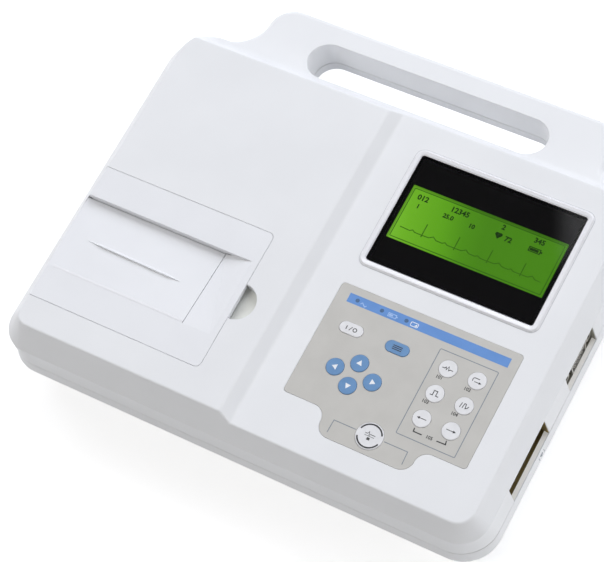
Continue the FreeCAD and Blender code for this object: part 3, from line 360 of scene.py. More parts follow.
metalLooks = {
    "bright_steel": {"colour": "D4D5D6", "shade": "BDBEC0", "blotch": 0.006, "rough": (0.22, 0.34),
                     "grain": 0.0004, "brush": (0.08, 1, 1), "depth": 0.00001, "softEdge": 0.0001},
    "plated_steel": {"colour": "CBC9C2", "shade": "B4B1A8", "blotch": 0.005, "rough": (0.28, 0.42),
                     "grain": 0.0006, "brush": (1, 0.2, 1), "depth": 0.00001, "softEdge": 0.0001},
    "gear_brass": {"colour": "D8B56A", "shade": "BD9850", "blotch": 0.004, "rough": (0.24, 0.36),
                   "grain": 0.0003, "brush": (0.1, 1, 1), "depth": 0.00001, "softEdge": 0.0001},
    "core_iron": {"colour": "6E7074", "shade": "4C4E52", "blotch": 0.008, "rough": (0.4, 0.55),
                  "grain": 0.0005, "brush": (0.02, 0.02, 1), "depth": 0.00006},
}
boardLook = {"colour": "1E5C38", "shade": "1A5231", "track": "2F7A4A", "pitch": 0.006, "line": 0.035,
             "depth": 0.00003, "shift": 0.37, "squash": 1.6, "squashRows": 3, "blotch": 0.024,
             "rough": (0.3, 0.45), "coat": 0.4, "coatRough": 0.2}
paneLook = {"colour": "F8F9FA", "ior": 1.32, "smear": 0.02, "rough": (0.0, 0.004)}
screenLook = {
    "colour": "0C1A06", "strength": 1.0, "span": (0.0244, 0.1121), "lean": 0.25,
    # The glow's brightest left end is partly painted reflection haze.
    "glow": [(0.0, "7FC636"), (0.14, "70B626"), (0.36, "60A61C"), (0.5, "509118"), (0.62, "4A8816"),
             (1.0, "4A8816")],
    "cell": 0.00045, "gap": 0.06, "gapShade": 0.94, "field": ((0.0244, 0.1121), (0.0126, 0.045)),
    # The edge darkening is painted shade of the mask, partly backlight falloff.
    "edgeShadeAndFalloff": 0.0012, "edgeShadeAndFalloffLevel": 0.66,
}
paperLook = {"colour": "F3F1EC", "shade": "EBE8E1", "blotch": 0.004, "rough": (0.6, 0.75), "wind": 0.00035,
             "mottle": 0.6, "layers": 0.3, "span": (0.2, 0.6), "depth": 0.00003}
finishes = {name: mouldedFinish(name, look) for name, look in mouldedLooks.items()}
finishes.update({name: metalFinish(name, look) for name, look in metalLooks.items()})
finishes["circuit_board"] = boardFinish("circuit_board", boardLook)
finishes["window_pane"] = paneFinish("window_pane", paneLook)
finishes["display_glass"] = screenFinish("display_glass", screenLook)
finishes["paper"] = paperFinish("paper", paperLook)

# Nodes of the patient socket, which are browner than their slots
passivatedLook = {"colour": "8A7B4C", "shade": "6F623A", "blotch": 0.004, "rough": (0.3, 0.45),
                  "grain": 0.0006, "brush": (1, 0.2, 1), "depth": 0.00001, "softEdge": 0.0001}
patientLook = {"colour": "4A4128", "shade": "3E3620", "blotch": 0.003, "rough": (0.4, 0.5),
               "grain": 0.0004, "depth": 0.00002}
ownFinish = {
    "patient_socket": metalFinish("passivated_steel", passivatedLook),
    "patient_jackscrews": metalFinish("passivated_screws", passivatedLook),
    "patient_insert": mouldedFinish("patient_plastic", patientLook),
}
for node, piece in nodes.items():
    piece.data.materials.clear()
    piece.data.materials.append(ownFinish.get(node) or finishes[slotOf[node]])
print("finishes made,", len(finishes))

# Flat shapes in millimetres, as lists of polygons
mitreLimit = 0.5  # at a sharp corner a ribbon grows to twice its width at most
cornerSteps = 6


def disc(x, y, r, steps):
    return [[(x + r * math.cos(tau * i / steps), y + r * math.sin(tau * i / steps)) for i in range(steps)]]


def oblong(x0, y0, x1, y1):
    return [[(x0, y0), (x1, y0), (x1, y1), (x0, y1)]]


def arcLine(x, y, r, start, end, steps=24):
    angles = [math.radians(start + (end - start) * i / steps) for i in range(steps + 1)]
    return [(x + r * math.cos(a), y + r * math.sin(a)) for a in angles]


def moved(points, x, y):
    return [(x + u, y + v) for u, v in points]


def turned(shapes, degrees):
    c, s = math.cos(math.radians(degrees)), math.sin(math.radians(degrees))
    return [[(c * u - s * v, s * u + c * v) for u, v in shape] for shape in shapes]


def ribbon(points, width, closed=False):
    count = len(points)
    sides = []
    for i, (x, y) in enumerate(points):
        before = points[i - 1] if i or closed else None
        after = points[(i + 1) % count] if i < count - 1 or closed else None
        ways = [Vector((x - before[0], y - before[1])).normalized()] if before else []
        ways += [Vector((after[0] - x, after[1] - y)).normalized()] if after else []
        way = sum(ways, Vector((0, 0))).normalized()
        across = Vector((-way.y, way.x))
        swell = 1 / max(across.dot(Vector((-ways[0].y, ways[0].x))), mitreLimit) * width / 2
        u, v = across.x * swell, across.y * swell
        sides.append(((x + u, y + v), (x - u, y - v)))
    spans = range(count if closed else count - 1)
    return [[sides[i][1], sides[(i + 1) % count][1], sides[(i + 1) % count][0], sides[i][0]] for i in spans]


def roundedLine(x0, y0, x1, y1, r, steps=cornerSteps):
    corners = ((x1 - r, y1 - r, 0), (x0 + r, y1 - r, 90), (x0 + r, y0 + r, 180), (x1 - r, y0 + r, 270))
    return [p for x, y, start in corners for p in arcLine(x, y, r, start, start + 90, steps)]


def insetLine(low, high, inset, r):
    return roundedLine(low.x + inset, low.y + inset, high.x - inset, high.y - inset, r)


def band(outer, inner):
    count = len(outer)
    return [[outer[i], outer[(i + 1) % count], inner[(i + 1) % count], inner[i]] for i in range(count)]


def figures(words, size, x, y, weight):
    curve = bpy.data.curves.new("figures", "FONT")
    curve.body = words
    curve.size = size
    curve.offset = weight
    curve.align_x = "CENTER"
    curve.align_y = "CENTER"
    curve.resolution_u = 3
    holder = linked("figures", curve)
    bpy.context.view_layer.update()
    mesh = bpy.data.meshes.new_from_object(holder.evaluated_get(bpy.context.evaluated_depsgraph_get()))
    shapes = [[(mesh.vertices[v].co.x + x, mesh.vertices[v].co.y + y) for v in face.vertices]
              for face in mesh.polygons]
    bpy.data.objects.remove(holder)
    bpy.data.meshes.remove(mesh)
    bpy.data.curves.remove(curve)
    return shapes


def heartShape(x, y, size):
    aside, above, lobe, lean = size / 4, size / 5, size / 3.6, 20
    left = arcLine(x - aside, y + above, lobe, lean, 180 + lean, 10)
    right = arcLine(x + aside, y + above, lobe, -lean, 180 - lean, 10)
    return [[(x, y - size / 2)] + right + left]


def cellShape(x, y, width, height, line, level):
    left, right, low, high = x - width / 2, x + width / 2, y - height / 2, y + height / 2
    knobHalf, knobReach = height / 5, line * 2.2
    outline = ribbon(oblong(left, low, right, high)[0], line, True)
    knob = oblong(right + line / 2, y - knobHalf, right + knobReach, y + knobHalf)
    fill = oblong(left + line, low + line, left + level * width, high - line)
    return outline + knob + fill


# Sides that a flat shape can face
flankLook = {"place": (0.141435, -0.0534, 0.0205), "slope": (0.9, 7.4)}  # right wall under the seam
flankAngle = math.atan2(*flankLook["slope"])
lean, rise = math.sin(flankAngle), math.cos(flankAngle)
facing = {
    "up": Matrix.Identity(4),
    "right": Matrix(((0, 0, 1, 0), (1, 0, 0, 0), (0, 1, 0, 0), (0, 0, 0, 1))),
    "down": Matrix(((1, 0, 0, 0), (0, -1, 0, 0), (0, 0, -1, 0), (0, 0, 0, 1))),
    "front": Matrix(((1, 0, 0, 0), (0, 0, -1, 0), (0, 1, 0, 0), (0, 0, 0, 1))),
    "flank": Matrix.Translation(flankLook["place"]) @ Matrix(
        ((0, -lean, rise, 0), (1, 0, 0, 0), (0, rise, lean, 0), (0, 0, 0, 1))),
}
weldDigits = 4  # points that agree to this many decimals are one


def addPlate(name, shapes, low, high, finish, body, slot=None, side="up"):
    # A flat shape made solid between two levels, in millimetres, facing one side of the object
    points, index, faces, edges = [], {}, [], {}
    for shape in shapes:
        area = sum(a[0] * b[1] - b[0] * a[1] for a, b in zip(shape, shape[1:] + shape[:1]))
        ring = []
        for x, y in shape if area > 0 else shape[::-1]:
            key = (round(x, weldDigits), round(y, weldDigits))
            if key not in index:
                index[key] = len(points)
                points.append(key)
            if not ring or ring[-1] != index[key]:
                ring.append(index[key])
        if ring[0] == ring[-1]:
            ring.pop()
        if len(ring) < 3:
            continue
        faces.append(ring)
        edges.update(dict.fromkeys(zip(ring, ring[1:] + ring[:1])))
    count = len(points)
    rim = [(a, b) for a, b in edges if (b, a) not in edges]
    solid = [tuple(ring) for ring in faces] + [tuple(v + count for v in reversed(ring)) for ring in faces]
    solid += [(b, a, a + count, b + count) for a, b in rim]
    turn = facing[side]
    spots = [turn @ Vector((x * mm, y * mm, level * mm)) for level in (high, low) for x, y in points]
    addMesh(name, spots, solid, finish, body)


# Display: black print behind the pane
maskLook = {"colour": "070508", "shade": "040305", "blotch": 0.01, "extra": {"Specular IOR Level": 0.0}}
displayLook = {"view": (24.4, 12.6, 112.1, 45.0), "viewRound": 0.4, "paneRound": 1.5, "maskIn": 0.06,
               "film": 0.06, "gap": 0.005}
maskInk = inkFinish("mask_ink", maskLook)


def addDisplay(look):
    low, high = boxOf("display_window")
    outer = insetLine(low, high, look["maskIn"], look["paneRound"])
    inner = roundedLine(*look["view"], look["viewRound"])
    level = (low.z - look["film"], low.z - look["gap"])
    addPlate("display_mask", band(outer, inner), *level, maskInk, "case", "window_pane")


addDisplay(displayLook)

# Bead on the rim of the bezel, and a thin grey ring round it, painted shade of the groove at the bezel's foot
beadLook = {"corner": 4.9, "outer": 0.4, "crest": 1.1, "inner": 3.25, "rise": 0.34, "sink": 0.02}
grooveShadeLook = {"colour": "CDCED2", "shade": "C6C7CB", "wide": 0.32, "lift": 0.03, "sink": 0.02,
              "proud": 0.45}  # height of the bezel above the face round it
grooveShadeInk = inkFinish("bezel_groove_shade", grooveShadeLook)


def addBead(look):
    low, high = boxOf("display_bezel")
    foot = -look["sink"]
    levels = ((look["outer"], foot), (look["crest"], look["rise"]), (look["inner"], foot))
    spots, faces = [], []
    for inset, level in levels:
        ring = insetLine(low, high, inset, look["corner"] - inset)
        spots += [Vector((x, y, high.z + level)) * mm for x, y in ring]
    count = len(spots) // len(levels)
    for i in range(len(levels)):
        here, beyond = i * count, (i + 1) % len(levels) * count
        for k in range(count):
            after = (k + 1) % count
            faces.append((here + k, here + after, beyond + after, beyond + k))
    slot = slotOf["display_bezel"]
    addMesh("bezel_bead", spots, faces, finishes[slot], "case")


def addGrooveShade(look):
    low, high = boxOf("display_bezel")
    top = high.z - look["proud"]
    wide, corner = look["wide"], beadLook["corner"]
    # The grey ring is painted shade of the groove round the bezel.
    ring = band(insetLine(low, high, -wide, corner + wide), insetLine(low, high, 0, corner))
    addPlate("bezel_groove_shade", ring, top - look["sink"], top + look["lift"], grooveShadeInk, "case")


addBead(beadLook)
addGrooveShade(grooveShadeLook)

# What the screen shows: figures, a border and a trace
screenInkLook = {"screen_ink": "1A360C", "trace_ink": "386A12", "border_ink": "2E5E12"}
screenInkBase = {"colour": "0E1E08", "shade": "0B1906", "strength": 0.9}
traceLook = {"baseline": 20.9, "start": 27.9, "startRise": 0.3, "end": 107.5, "beat": 18.55, "first": 40.6,
             "width": 0.5, "peak": 6.8, "dip": 1.2, "peakWide": 0.56,
             "before": [(-7.0, 0), (-5.6, 0.9), (-4.2, 0)], "after": [(4.0, 0.1), (6.0, 1.5), (8.0, 0.1)]}
marksLook = {
    "figures": [("012", 4.2, 31.8, 40.1), ("1", 3.4, 31.3, 35.0), ("12345", 4.2, 52.9, 40.5),
                ("25.0", 3.4, 48.4, 35.6), ("10", 3.4, 61.8, 35.5), ("2", 4.0, 77.2, 41.4),
                ("345", 4.0, 97.4, 41.2), ("72", 4.0, 82.2, 35.9)],
    "weight": 0.14, "heart": (76.6, 36.2, 3.8), "cell": (97.0, 35.9, 6.2, 2.4, 0.5, 0.85),
    "borderIn": (0.9, 1.95), "borderRound": 0.3, "borderSteps": 2, "borderLine": 0.4,
    "gap": 0.005, "lift": 0.03,
}


def screenInk(name):
    glow = {"Emission Color": fromHex(screenInkLook[name]), "Emission Strength": screenInkBase["strength"]}
    return inkFinish(name, {**screenInkBase, "extra": {**glow, "Specular IOR Level": 0.0}})


def heartBeat(look):
    base, half = look["baseline"], look["peakWide"] / 2
    shapes = []
    points = [(look["start"], base + look["startRise"])]
    peak = look["first"]
    while peak < look["end"]:
        points += moved(look["before"], peak, base) + [(peak - half, base)]
        shapes += ribbon(points, look["width"])
        shapes += oblong(peak - half, base - look["dip"], peak + half, base + look["peak"])
        points = [(peak + half, base)] + moved(look["after"], peak, base)
        peak += look["beat"]
    points = [p for p in points if p[0] < look["end"]] + [(look["end"], base)]
    return shapes + ribbon(points, look["width"])


def addScreenMarks(look):
    top = boxOf("lcd_glass")[1].z
    level = (top + look["gap"], top + look["lift"])
    marks = []
    for words, size, x, y in look["figures"]:
        marks += figures(words, size, x, y, look["weight"])
    marks += heartShape(*look["heart"]) + cellShape(*look["cell"])
    addPlate("screen_figures", marks, *level, screenInk("screen_ink"), "case")
    x0, y0, x1, y1 = displayLook["view"]
    far, near = look["borderIn"]
    corners = (x0 + far, y0 + near, x1 - near, y1 - far)
    outline = roundedLine(*corners, look["borderRound"], look["borderSteps"])
    border = ribbon(outline, look["borderLine"], True)
    addPlate("screen_border", border, *level, screenInk("border_ink"), "case")
    addPlate("screen_trace", heartBeat(traceLook), *level, screenInk("trace_ink"), "case")


addScreenMarks(marksLook)
print("display dressed")

# Keypad overlay: coloured bar, frames, captions
overlayLook = {
    "lift": 0.03, "sink": 0.02, "overlap": 0.01, "line": 0.42, "frameSteps": 3,
    "bar": (23.2, -28.8, 113.3, -23.6), "lamps": (28.4, 42.3, 56.2), "lampGap": 1.1, "lampSteps": 8,
    "wave": [(30.6, -27.3), (31.4, -26.4), (32.3, -27.2), (33.2, -28.0), (34.0, -27.2)], "waveLine": 0.5,
    "cell": (48.3, -26.6, 4.4, 1.8, 0.4, 0.6),
    "tab": (58.9, -27.7, 62.9, -25.5, 0.5), "tabLine": 0.35,
    "tabMark": [(61.0, -27.3), (62.5, -27.3), (62.2, -25.9)],
    "box": (78.7, -81.9, 110.6, -32.8, 0.6),
    "leads": ([(47.6, -95.8), (47.8, -88.6), (60.0, -88.6)],
              [(75.6, -88.6), (88.6, -88.6), (88.9, -95.6)]),
    "hooks": ([(86.0, -75.9), (86.2, -77.8), (90.8, -77.8)],
              [(98.8, -77.7), (103.6, -77.6), (103.2, -75.6)]),
    "hookLine": 0.6,
    "captions": (("101", 84.9, -47.0), ("102", 100.4, -47.2), ("103", 84.4, -61.3), ("104", 100.4, -61.5),
                 ("105", 94.8, -77.7)),
    "captionSize": 2.5, "weight": 0.06,
}
barInk = inkFinish("bar_ink", {"colour": "6695D6", "shade": "6190D0", "blotch": 0.006})
paleInk = inkFinish("pale_ink", {"colour": "A9C6F0", "shade": "9FBDEA"})
whiteInk = inkFinish("white_ink", {"colour": "F2F4F8", "shade": "EAECF0"})
frameInk = inkFinish("frame_ink", {"colour": "8A939C", "shade": "808992"})
darkInk = inkFinish("dark_ink", {"colour": "3C3C3E", "shade": "303032"})
captionInk = inkFinish("caption_ink", {"colour": "4C4C4A", "shade": "424240"})


def lampSquare(x, y, half, gap, steps):  # a square with a round hole for a lamp
    corners = oblong(x - half, y - half, x + half, y + half)[0]
    outer = []
    for (x0, y0), (x1, y1) in zip(corners, corners[1:] + corners[:1]):
        outer += [(x0 + (x1 - x0) * k / steps, y0 + (y1 - y0) * k / steps) for k in range(steps)]
    angles = [math.atan2(v - y, u - x) for u, v in outer]
    return band(outer, [(x + gap * math.cos(a), y + gap * math.sin(a)) for a in angles])


def barShapes(look):
    left, low, right, high = look["bar"]
    middle, half = (low + high) / 2, (high - low) / 2
    shapes = []
    for spot in look["lamps"]:
        shapes += oblong(left, low, spot - half, high)
        shapes += lampSquare(spot, middle, half, look["lampGap"], look["lampSteps"])
        left = spot + half
    return shapes + oblong(left, low, right, high)


def addOverlayPrint(look):
    top = boxOf("keypad_overlay")[1].z
    level = (top - look["sink"], top + look["lift"])
    above = (top + look["lift"] - look["overlap"], top + 2 * look["lift"])
    addPlate("overlay_bar", barShapes(look), *level, barInk, "case")
    addPlate("bar_wave", ribbon(look["wave"], look["waveLine"]), *above, paleInk, "case")
    addPlate("bar_cell", cellShape(*look["cell"]), *above, paleInk, "case")
    tab = ribbon(roundedLine(*look["tab"], look["frameSteps"]), look["tabLine"], True)
    addPlate("bar_tab", tab + [look["tabMark"]], *above, whiteInk, "case")
    frames = ribbon(roundedLine(*look["box"], look["frameSteps"]), look["line"], True)
    for points in look["leads"]:
        frames += ribbon(points, look["line"])
    addPlate("overlay_frames", frames, *level, frameInk, "case")
    hooks = [part for points in look["hooks"] for part in ribbon(points, look["hookLine"])]
    addPlate("overlay_hooks", hooks, *level, darkInk, "case")
    captions = []
    for words, x, y in look["captions"]:
        captions += figures(words, look["captionSize"], x, y, look["weight"])
    addPlate("overlay_captions", captions, *level, captionInk, "case")


addOverlayPrint(overlayLook)

# Symbols on the keys, each drawn round the middle of its key and riding on it
keyLook = {"lift": 0.03, "sink": 0.02}
lineWidth = {"slim": 0.32, "slash": 0.35, "arrow": 0.36, "plain": 0.38, "stem": 0.4, "bold": 0.42,
             "ring": 0.8}
triangleLook = {"tip": 1.75, "back": 0.55, "half": 0.9}  # back and half are shares of tip
leadLook = {"tail": 2.5, "tip": 2.6, "head": 1.5}
menuLook = {"feet": (0.75, -0.22, -1.2), "tall": 0.45, "half": 2.6}
ringLook = {"radius": 6.2, "arcs": ((22, 160), (199, 339))}
powerLook = {"bar": (-2.9, -1.0, -2.45, 1.0), "slash": [(-1.0, -1.1), (0.2, 1.1)], "ring": (2.0, 0, 0.95, 24)}
returnArrow = ((-1.2, -0.9), (2.6, -0.9), 1.3)  # tail, tip and length of the head
pulseLine = [(-3.0, -0.3), (-1.7, -0.3), (-1.2, 0.5), (-0.6, -0.9), (0.1, 1.2), (0.7, -1.0), (1.3, -0.3),
             (2.9, -0.3)]
returnLine = [(-2.2, -0.9)] + arcLine(-1.4, 0.1, 1.0, 200, 90, 8) + [(1.0, 1.1)]
stepLine = [(-2.3, -1.2), (-0.9, -1.2), (-0.9, 1.4), (0.9, 1.4), (0.9, -1.2), (2.3, -1.2)]
stemLine = [(-1.9, -1.5), (-1.5, 1.3)]
swingLine = [(-0.6, -1.4), (-0.2, 1.2), (0.7, 1.2), (1.0, -1.2), (1.9, -0.6), (2.4, 0.4)]
spikeLine = [(-2.8, 0.9), (-1.5, 0.9), (-0.9, 2.1), (-0.4, 0.2), (0.2, 0.9), (2.8, 0.9)]
spikeBars = oblong(-2.6, -0.35, 2.6, -0.1) + oblong(-0.8, -2.3, 0.8, -0.9)


def stroke(points, kind, closed=False):
    return ribbon(points, lineWidth[kind], closed)


def arrow(tail, tip, head, kind):
    way = (Vector(tip) - Vector(tail)).normalized()
    across = Vector((-way.y, way.x))
    neck = Vector(tip) - way * head
    wings = (neck + across * head / 2, neck - across * head / 2)
    return stroke([tail, tuple(neck)], kind) + [[tip, tuple(wings[0]), tuple(wings[1])]]


def triangle(degrees):
    tip = triangleLook["tip"]
    back, half = -tip * triangleLook["back"], tip * triangleLook["half"]
    return turned([[(tip, 0), (back, half), (back, -half)]], degrees)


def leadArrow(way):
    return arrow((-way * leadLook["tail"], 0), (way * leadLook["tip"], 0), leadLook["head"], "arrow")


def powerSymbol(look):
    ring = stroke(disc(*look["ring"])[0], "bold", True)
    return oblong(*look["bar"]) + stroke(look["slash"], "slash") + ring


def menuSymbol(look):
    half, tall = look["half"], look["tall"]
    return [oblong(-half, foot, half, foot + tall)[0] for foot in look["feet"]]


def ringSymbol(look):
    return [part for ends in look["arcs"] for part in stroke(arcLine(0, 0, look["radius"], *ends), "ring")]


keySymbols = [
    ("key_up", "_symbol", triangle(203), whiteInk),
    ("key_right", "_symbol", triangle(116), whiteInk),
    ("key_down", "_symbol", triangle(25), whiteInk),
    ("key_left", "_symbol", triangle(-60), whiteInk),
    ("key_power", "_symbol", powerSymbol(powerLook), captionInk),
    ("key_menu", "_symbol", menuSymbol(menuLook), darkInk),
    ("key_sens", "_symbol", stroke(pulseLine, "plain"), darkInk),
    ("key_recall", "_symbol", stroke(returnLine, "plain") + arrow(*returnArrow, "plain"), darkInk),
    ("key_cal", "_symbol", stroke(stepLine, "bold"), darkInk),
    ("key_mode", "_symbol", stroke(stemLine, "stem") + stroke(swingLine, "plain"), darkInk),
    ("key_lead_left", "_symbol", leadArrow(-1), darkInk),
    ("key_lead_right", "_symbol", leadArrow(1), darkInk),
    ("key_print", "_symbol", ringSymbol(ringLook), darkInk),
    ("key_print", "_words", stroke(spikeLine, "slim") + spikeBars, captionInk),
]


def addKeySymbols(look):
    for key, ending, shapes, ink in keySymbols:
        low, high = boxOf(key)
        middle = (low + high) / 2
        level = (high.z - look["sink"], high.z + look["lift"])
        placed = [moved(shape, middle.x, middle.y) for shape in shapes]
        addPlate(key + ending, placed, *level, ink, bodyOf[key])


addKeySymbols(keyLook)
print("keypad dressed")

# Socket contacts, and a mark on the wall for the patient socket
contactLook = {"pitch": 2.76, "rows": 2.84, "hole": 0.62, "sleeve": 0.95, "proud": 0.25, "holeProud": 0.05,
               "sink": 0.1, "steps": 16, "slot": "plated_steel"}
markLook = {"heart": 2.6, "barX": (2.5, 2.9), "barHalf": 1.3, "sink": 0.05, "lift": 0.03}
# Painted shade: dark discs stand for the socket holes, dark bars for the screw slots.
holeShadeInk = inkFinish("painted_hole_shade", {"colour": "171614", "shade": "121110"})


def addContacts(node, counts, look):
    low, high = boxOf(node)
    y, z, face = (low.y + high.y) / 2, (low.z + high.z) / 2, high.x
    sleeves, holes = [], []
    for row, count in zip((look["rows"] / 2, -look["rows"] / 2), counts):
        for i in range(count):
            spot = (y + (i - (count - 1) / 2) * look["pitch"], z + row)
            hole = disc(*spot, look["hole"], look["steps"])
            sleeves += band(disc(*spot, look["sleeve"], look["steps"])[0], hole[0])
            holes += hole
    foot, slot = face - look["sink"], look["slot"]
    addPlate(node + "_contacts", sleeves, foot, face + look["proud"], finishes[slot], "case", slot, "right")
    # Dark discs: painted shade of the holes.
    addPlate(node + "_holes", holes, foot, face + look["holeProud"], holeShadeInk, "case", None, "right")


def addMark(look):
    near, far = look["barX"]
    half = look["barHalf"]
    bars = oblong(-far, -half, -near, half) + oblong(near, -half, far, half)
    shapes = heartShape(0, 0, look["heart"]) + bars
    addPlate("patient_mark", shapes, -look["sink"], look["lift"], frameInk, "case", None, "flank")


addContacts("patient_insert", (8, 7), contactLook)
addContacts("serial_insert", (5, 4), contactLook)
addMark(markLook)
print("sockets dressed")

# Grey strip down in the gap round the door: painted shade of the gap line
gapShadeLook = {"colour": "D9DADD", "shade": "D0D1D4", "blotch": 0.004, "rough": (0.6, 0.75), "grain": 0.0004,
            "depth": 0.00002, "left": -126.0, "gap": 0.25, "wide": 0.18, "corner": 3.125, "below": 0.25,
            "deep": 0.5, "notch": (-63.2, -42.2)}
gapShadeFinish = mouldedFinish("door_gap_shade", gapShadeLook)


def addGapShade(look):
    low, high = boxOf("paper_door")
    half, r = look["gap"] / 2, look["corner"]
    x0, y0, x1, y1 = look["left"], low.y - half, high.x + half, high.y + half
    front = [(x0, y0)] + arcLine(x1 - r, y0 + r, r, -90, 0, cornerSteps) + [(x1, look["notch"][0])]
    back = [(x1, look["notch"][1])] + arcLine(x1 - r, y1 - r, r, 0, 90, cornerSteps) + [(x0, y1)]
    top = high.z - look["below"]
    # The strip's grey is painted shade of the gap line.
    strips = ribbon(front, look["wide"]) + ribbon(back, look["wide"])
    addPlate("door_gap_shade", strips, top - look["deep"], top, gapShadeFinish, "case")


addGapShade(gapShadeLook)

# Floor of the finger notch, a sheet darker and warmer than the case: painted shade
notchShadeLook = {"colour": "DEDFD9", "shade": "D9DAD4", "blotch": 0.004, "rough": (0.5, 0.6), "grain": 0.0005,
             "depth": 0.00003, "place": (-26.9, -52.7), "radius": 10.2, "sweep": 96, "floor": 49.5,
             "thick": 0.08, "sink": 0.02}
notchShadeFinish = mouldedFinish("notch_shade_sheet", notchShadeLook)


def addNotchShade(look):
    # Its darker, warmer colour is painted shade on the notch floor.
    shape = arcLine(*look["place"], look["radius"], -look["sweep"], look["sweep"])
    level = (look["floor"] - look["sink"], look["floor"] + look["thick"])
    addPlate("notch_shade_sheet", [shape], *level, notchShadeFinish, "case")


addNotchShade(notchShadeLook)

# Paper ramp: a lip at its front edge, in brighter, glossier plastic as a painted highlight, and a blade along
# its ridge
rampLook = {"front": -74.8, "back": -29.9, "top": 54.0, "drop": 4.0, "left": -125.9, "right": -47.0,
            "lip": (0.0, 0.8, 1.6), "lipDeep": 0.15, "lipHighlightSlot": "bezel_plastic"}
bladeLook = {"left": (-118.6, -52.6), "right": (-58.8, -53.8), "taper": 0.16, "ahead": 1.45, "behind": 0.5,
             "tall": 1.1, "crest": -1.0, "tip": -0.7, "sink": 0.1}


def rampLevel(y):
    run = rampLook["back"] - rampLook["front"]
    return rampLook["top"] - rampLook["drop"] * (y - rampLook["front"]) / run


def addLip(look):
    start, crest, end = (look["front"] + reach for reach in look["lip"])
    section = [(start, rampLevel(start) - look["lipDeep"]), (end, rampLevel(end) - look["lipDeep"]),
               (end, rampLevel(end)), (crest, look["top"]), (start, rampLevel(start))]
    # The bezel's brighter plastic on the lip is a painted highlight along the fold.
    ends, slot = (look["left"], look["right"]), look["lipHighlightSlot"]
    addPlate("ramp_lip", [section], *ends, finishes[slot], bodyOf["paper_ramp"], slot, "right")


def addBlade(look):
    def spot(share, across, height):
        x, y = Vector(look["left"]).lerp(Vector(look["right"]), share)
        return Vector((x, y + across, rampLevel(y + across) + height)) * mm

    foot = -look["sink"]
    spots = [spot(0, look["tip"], foot)]
    for share in (look["taper"], 1 - look["taper"]):
        spots += [spot(share, -look["ahead"], foot), spot(share, look["crest"], look["tall"]),
                  spot(share, look["behind"], foot)]
    spots.append(spot(1, look["tip"], foot))
    leftTip = [(0, 1, 2), (0, 2, 3), (0, 3, 1)]
    sides = [(1, 4, 5, 2), (2, 5, 6, 3), (3, 6, 4, 1)]
    rightTip = [(7, 5, 4), (7, 6, 5), (7, 4, 6)]
    slot = slotOf["paper_ramp"]
    addMesh("ramp_blade", spots, leftTip + sides + rightTip, finishes[slot], bodyOf["paper_ramp"])


addLip(rampLook)
addBlade(bladeLook)

# Painted shade in the socket recesses: dark sheets on the floor and ends, and a sloped sill at the mouth
# painted whiter than the case
recessShadeTones = {"patient_socket": {"colour": "88763F", "shade": "7C6B38"},
               "serial_socket": {"colour": "A8A598", "shade": "9C998C"}}
recessLook = {"blotch": 0.004, "rough": (0.5, 0.6), "grain": 0.0004, "depth": 0.00002, "floor": 24.9,
              "top": 38.5, "footX": 140.5, "headX": 138.9, "behind": 1.6, "inset": 0.28, "thick": 0.3,
              "sink": 0.02, "sillX": 138.4, "sillTop": 26.1}
sillLightLook = {"colour": "FAF8F3", "shade": "F6F4EE", "blotch": 0.006, "rough": (0.45, 0.55), "grain": 0.0006,
            "depth": 0.00003}
sillLightFinish = mouldedFinish("recess_sill_light", sillLightLook)


def addRecess(socket, tones, look):
    # Painted shade: dark sheets on the floor and ends of the recess.
    finish = mouldedFinish(socket + "_shade_sheet", {**look, **tones})
    low, high = boxOf(socket)
    back, thick, sillX, footX = low.x + look["behind"], look["thick"], look["sillX"], look["footX"]
    foot, floor, top = look["floor"] - look["sink"], look["floor"] + thick, look["top"]
    y0, y1 = low.y - look["inset"], high.y + look["inset"]
    addPlate(socket + "_shade_sheet", oblong(back, y0, sillX, y1), foot, floor, finish, "case")
    end = [[(back, floor), (footX, floor), (look["headX"], top), (back, top)]]
    addPlate(socket + "_near_end", end, -y0 - thick, -y0, finish, "case", None, "front")
    addPlate(socket + "_far_end", end, -y1, -y1 + thick, finish, "case", None, "front")
    # The sill's near-white, whiter than the case, is painted light.
    slope = [[(sillX, foot), (footX, foot), (sillX, look["sillTop"])]]
    addPlate(socket + "_sill", slope, -y1 + thick, -y0 - thick, sillLightFinish, "case", None, "front")


for socket, tones in recessShadeTones.items():
    addRecess(socket, tones, recessLook)
print("recess shade and sill light set")

# Underside: grip ribs and screw drives
ribLook = {"count": 6, "pitch": 2.0, "wide": 0.9, "half": 11.0, "inset": 7.0, "tall": 0.4, "sink": 0.1}
driveLook = {"headR": 2.9, "reach": 1.6, "slit": 0.28, "lift": 0.02, "sink": 0.05}


def addRibs(look):
    low, high = boxOf("battery_cover")
    middle, half, wide = (low.x + high.x) / 2, look["half"], look["wide"]
    ribs = []
    for i in range(look["count"]):
        y = -(low.y + look["inset"] + i * look["pitch"])
        ribs += oblong(middle - half, y - wide / 2, middle + half, y + wide / 2)
    level, slot = (-low.z - look["sink"], -low.z + look["tall"]), slotOf["battery_cover"]
    addPlate("battery_cover_ribs", ribs, *level, finishes[slot], "case", slot, "down")


def addDrives(look):
    low, high = boxOf("case_screws")
    reach, slit, headR = look["reach"], look["slit"], look["headR"]
    drives = []
    for x in (low.x + headR, high.x - headR):
        for y in (-low.y - headR, -high.y + headR):
            drives += oblong(x - reach, y - slit, x + reach, y + slit)
            drives += oblong(x - slit, y + slit, x + slit, y + reach)
            drives += oblong(x - slit, y - reach, x + slit, y - slit)
    level = (-low.z - look["sink"], -low.z + look["lift"])
    # The slots are dark plates: painted shade of the recesses.
    addPlate("screw_drives", drives, *level, holeShadeInk, "case", None, "down")


addRibs(ribLook)
addDrives(driveLook)
print("underside dressed")

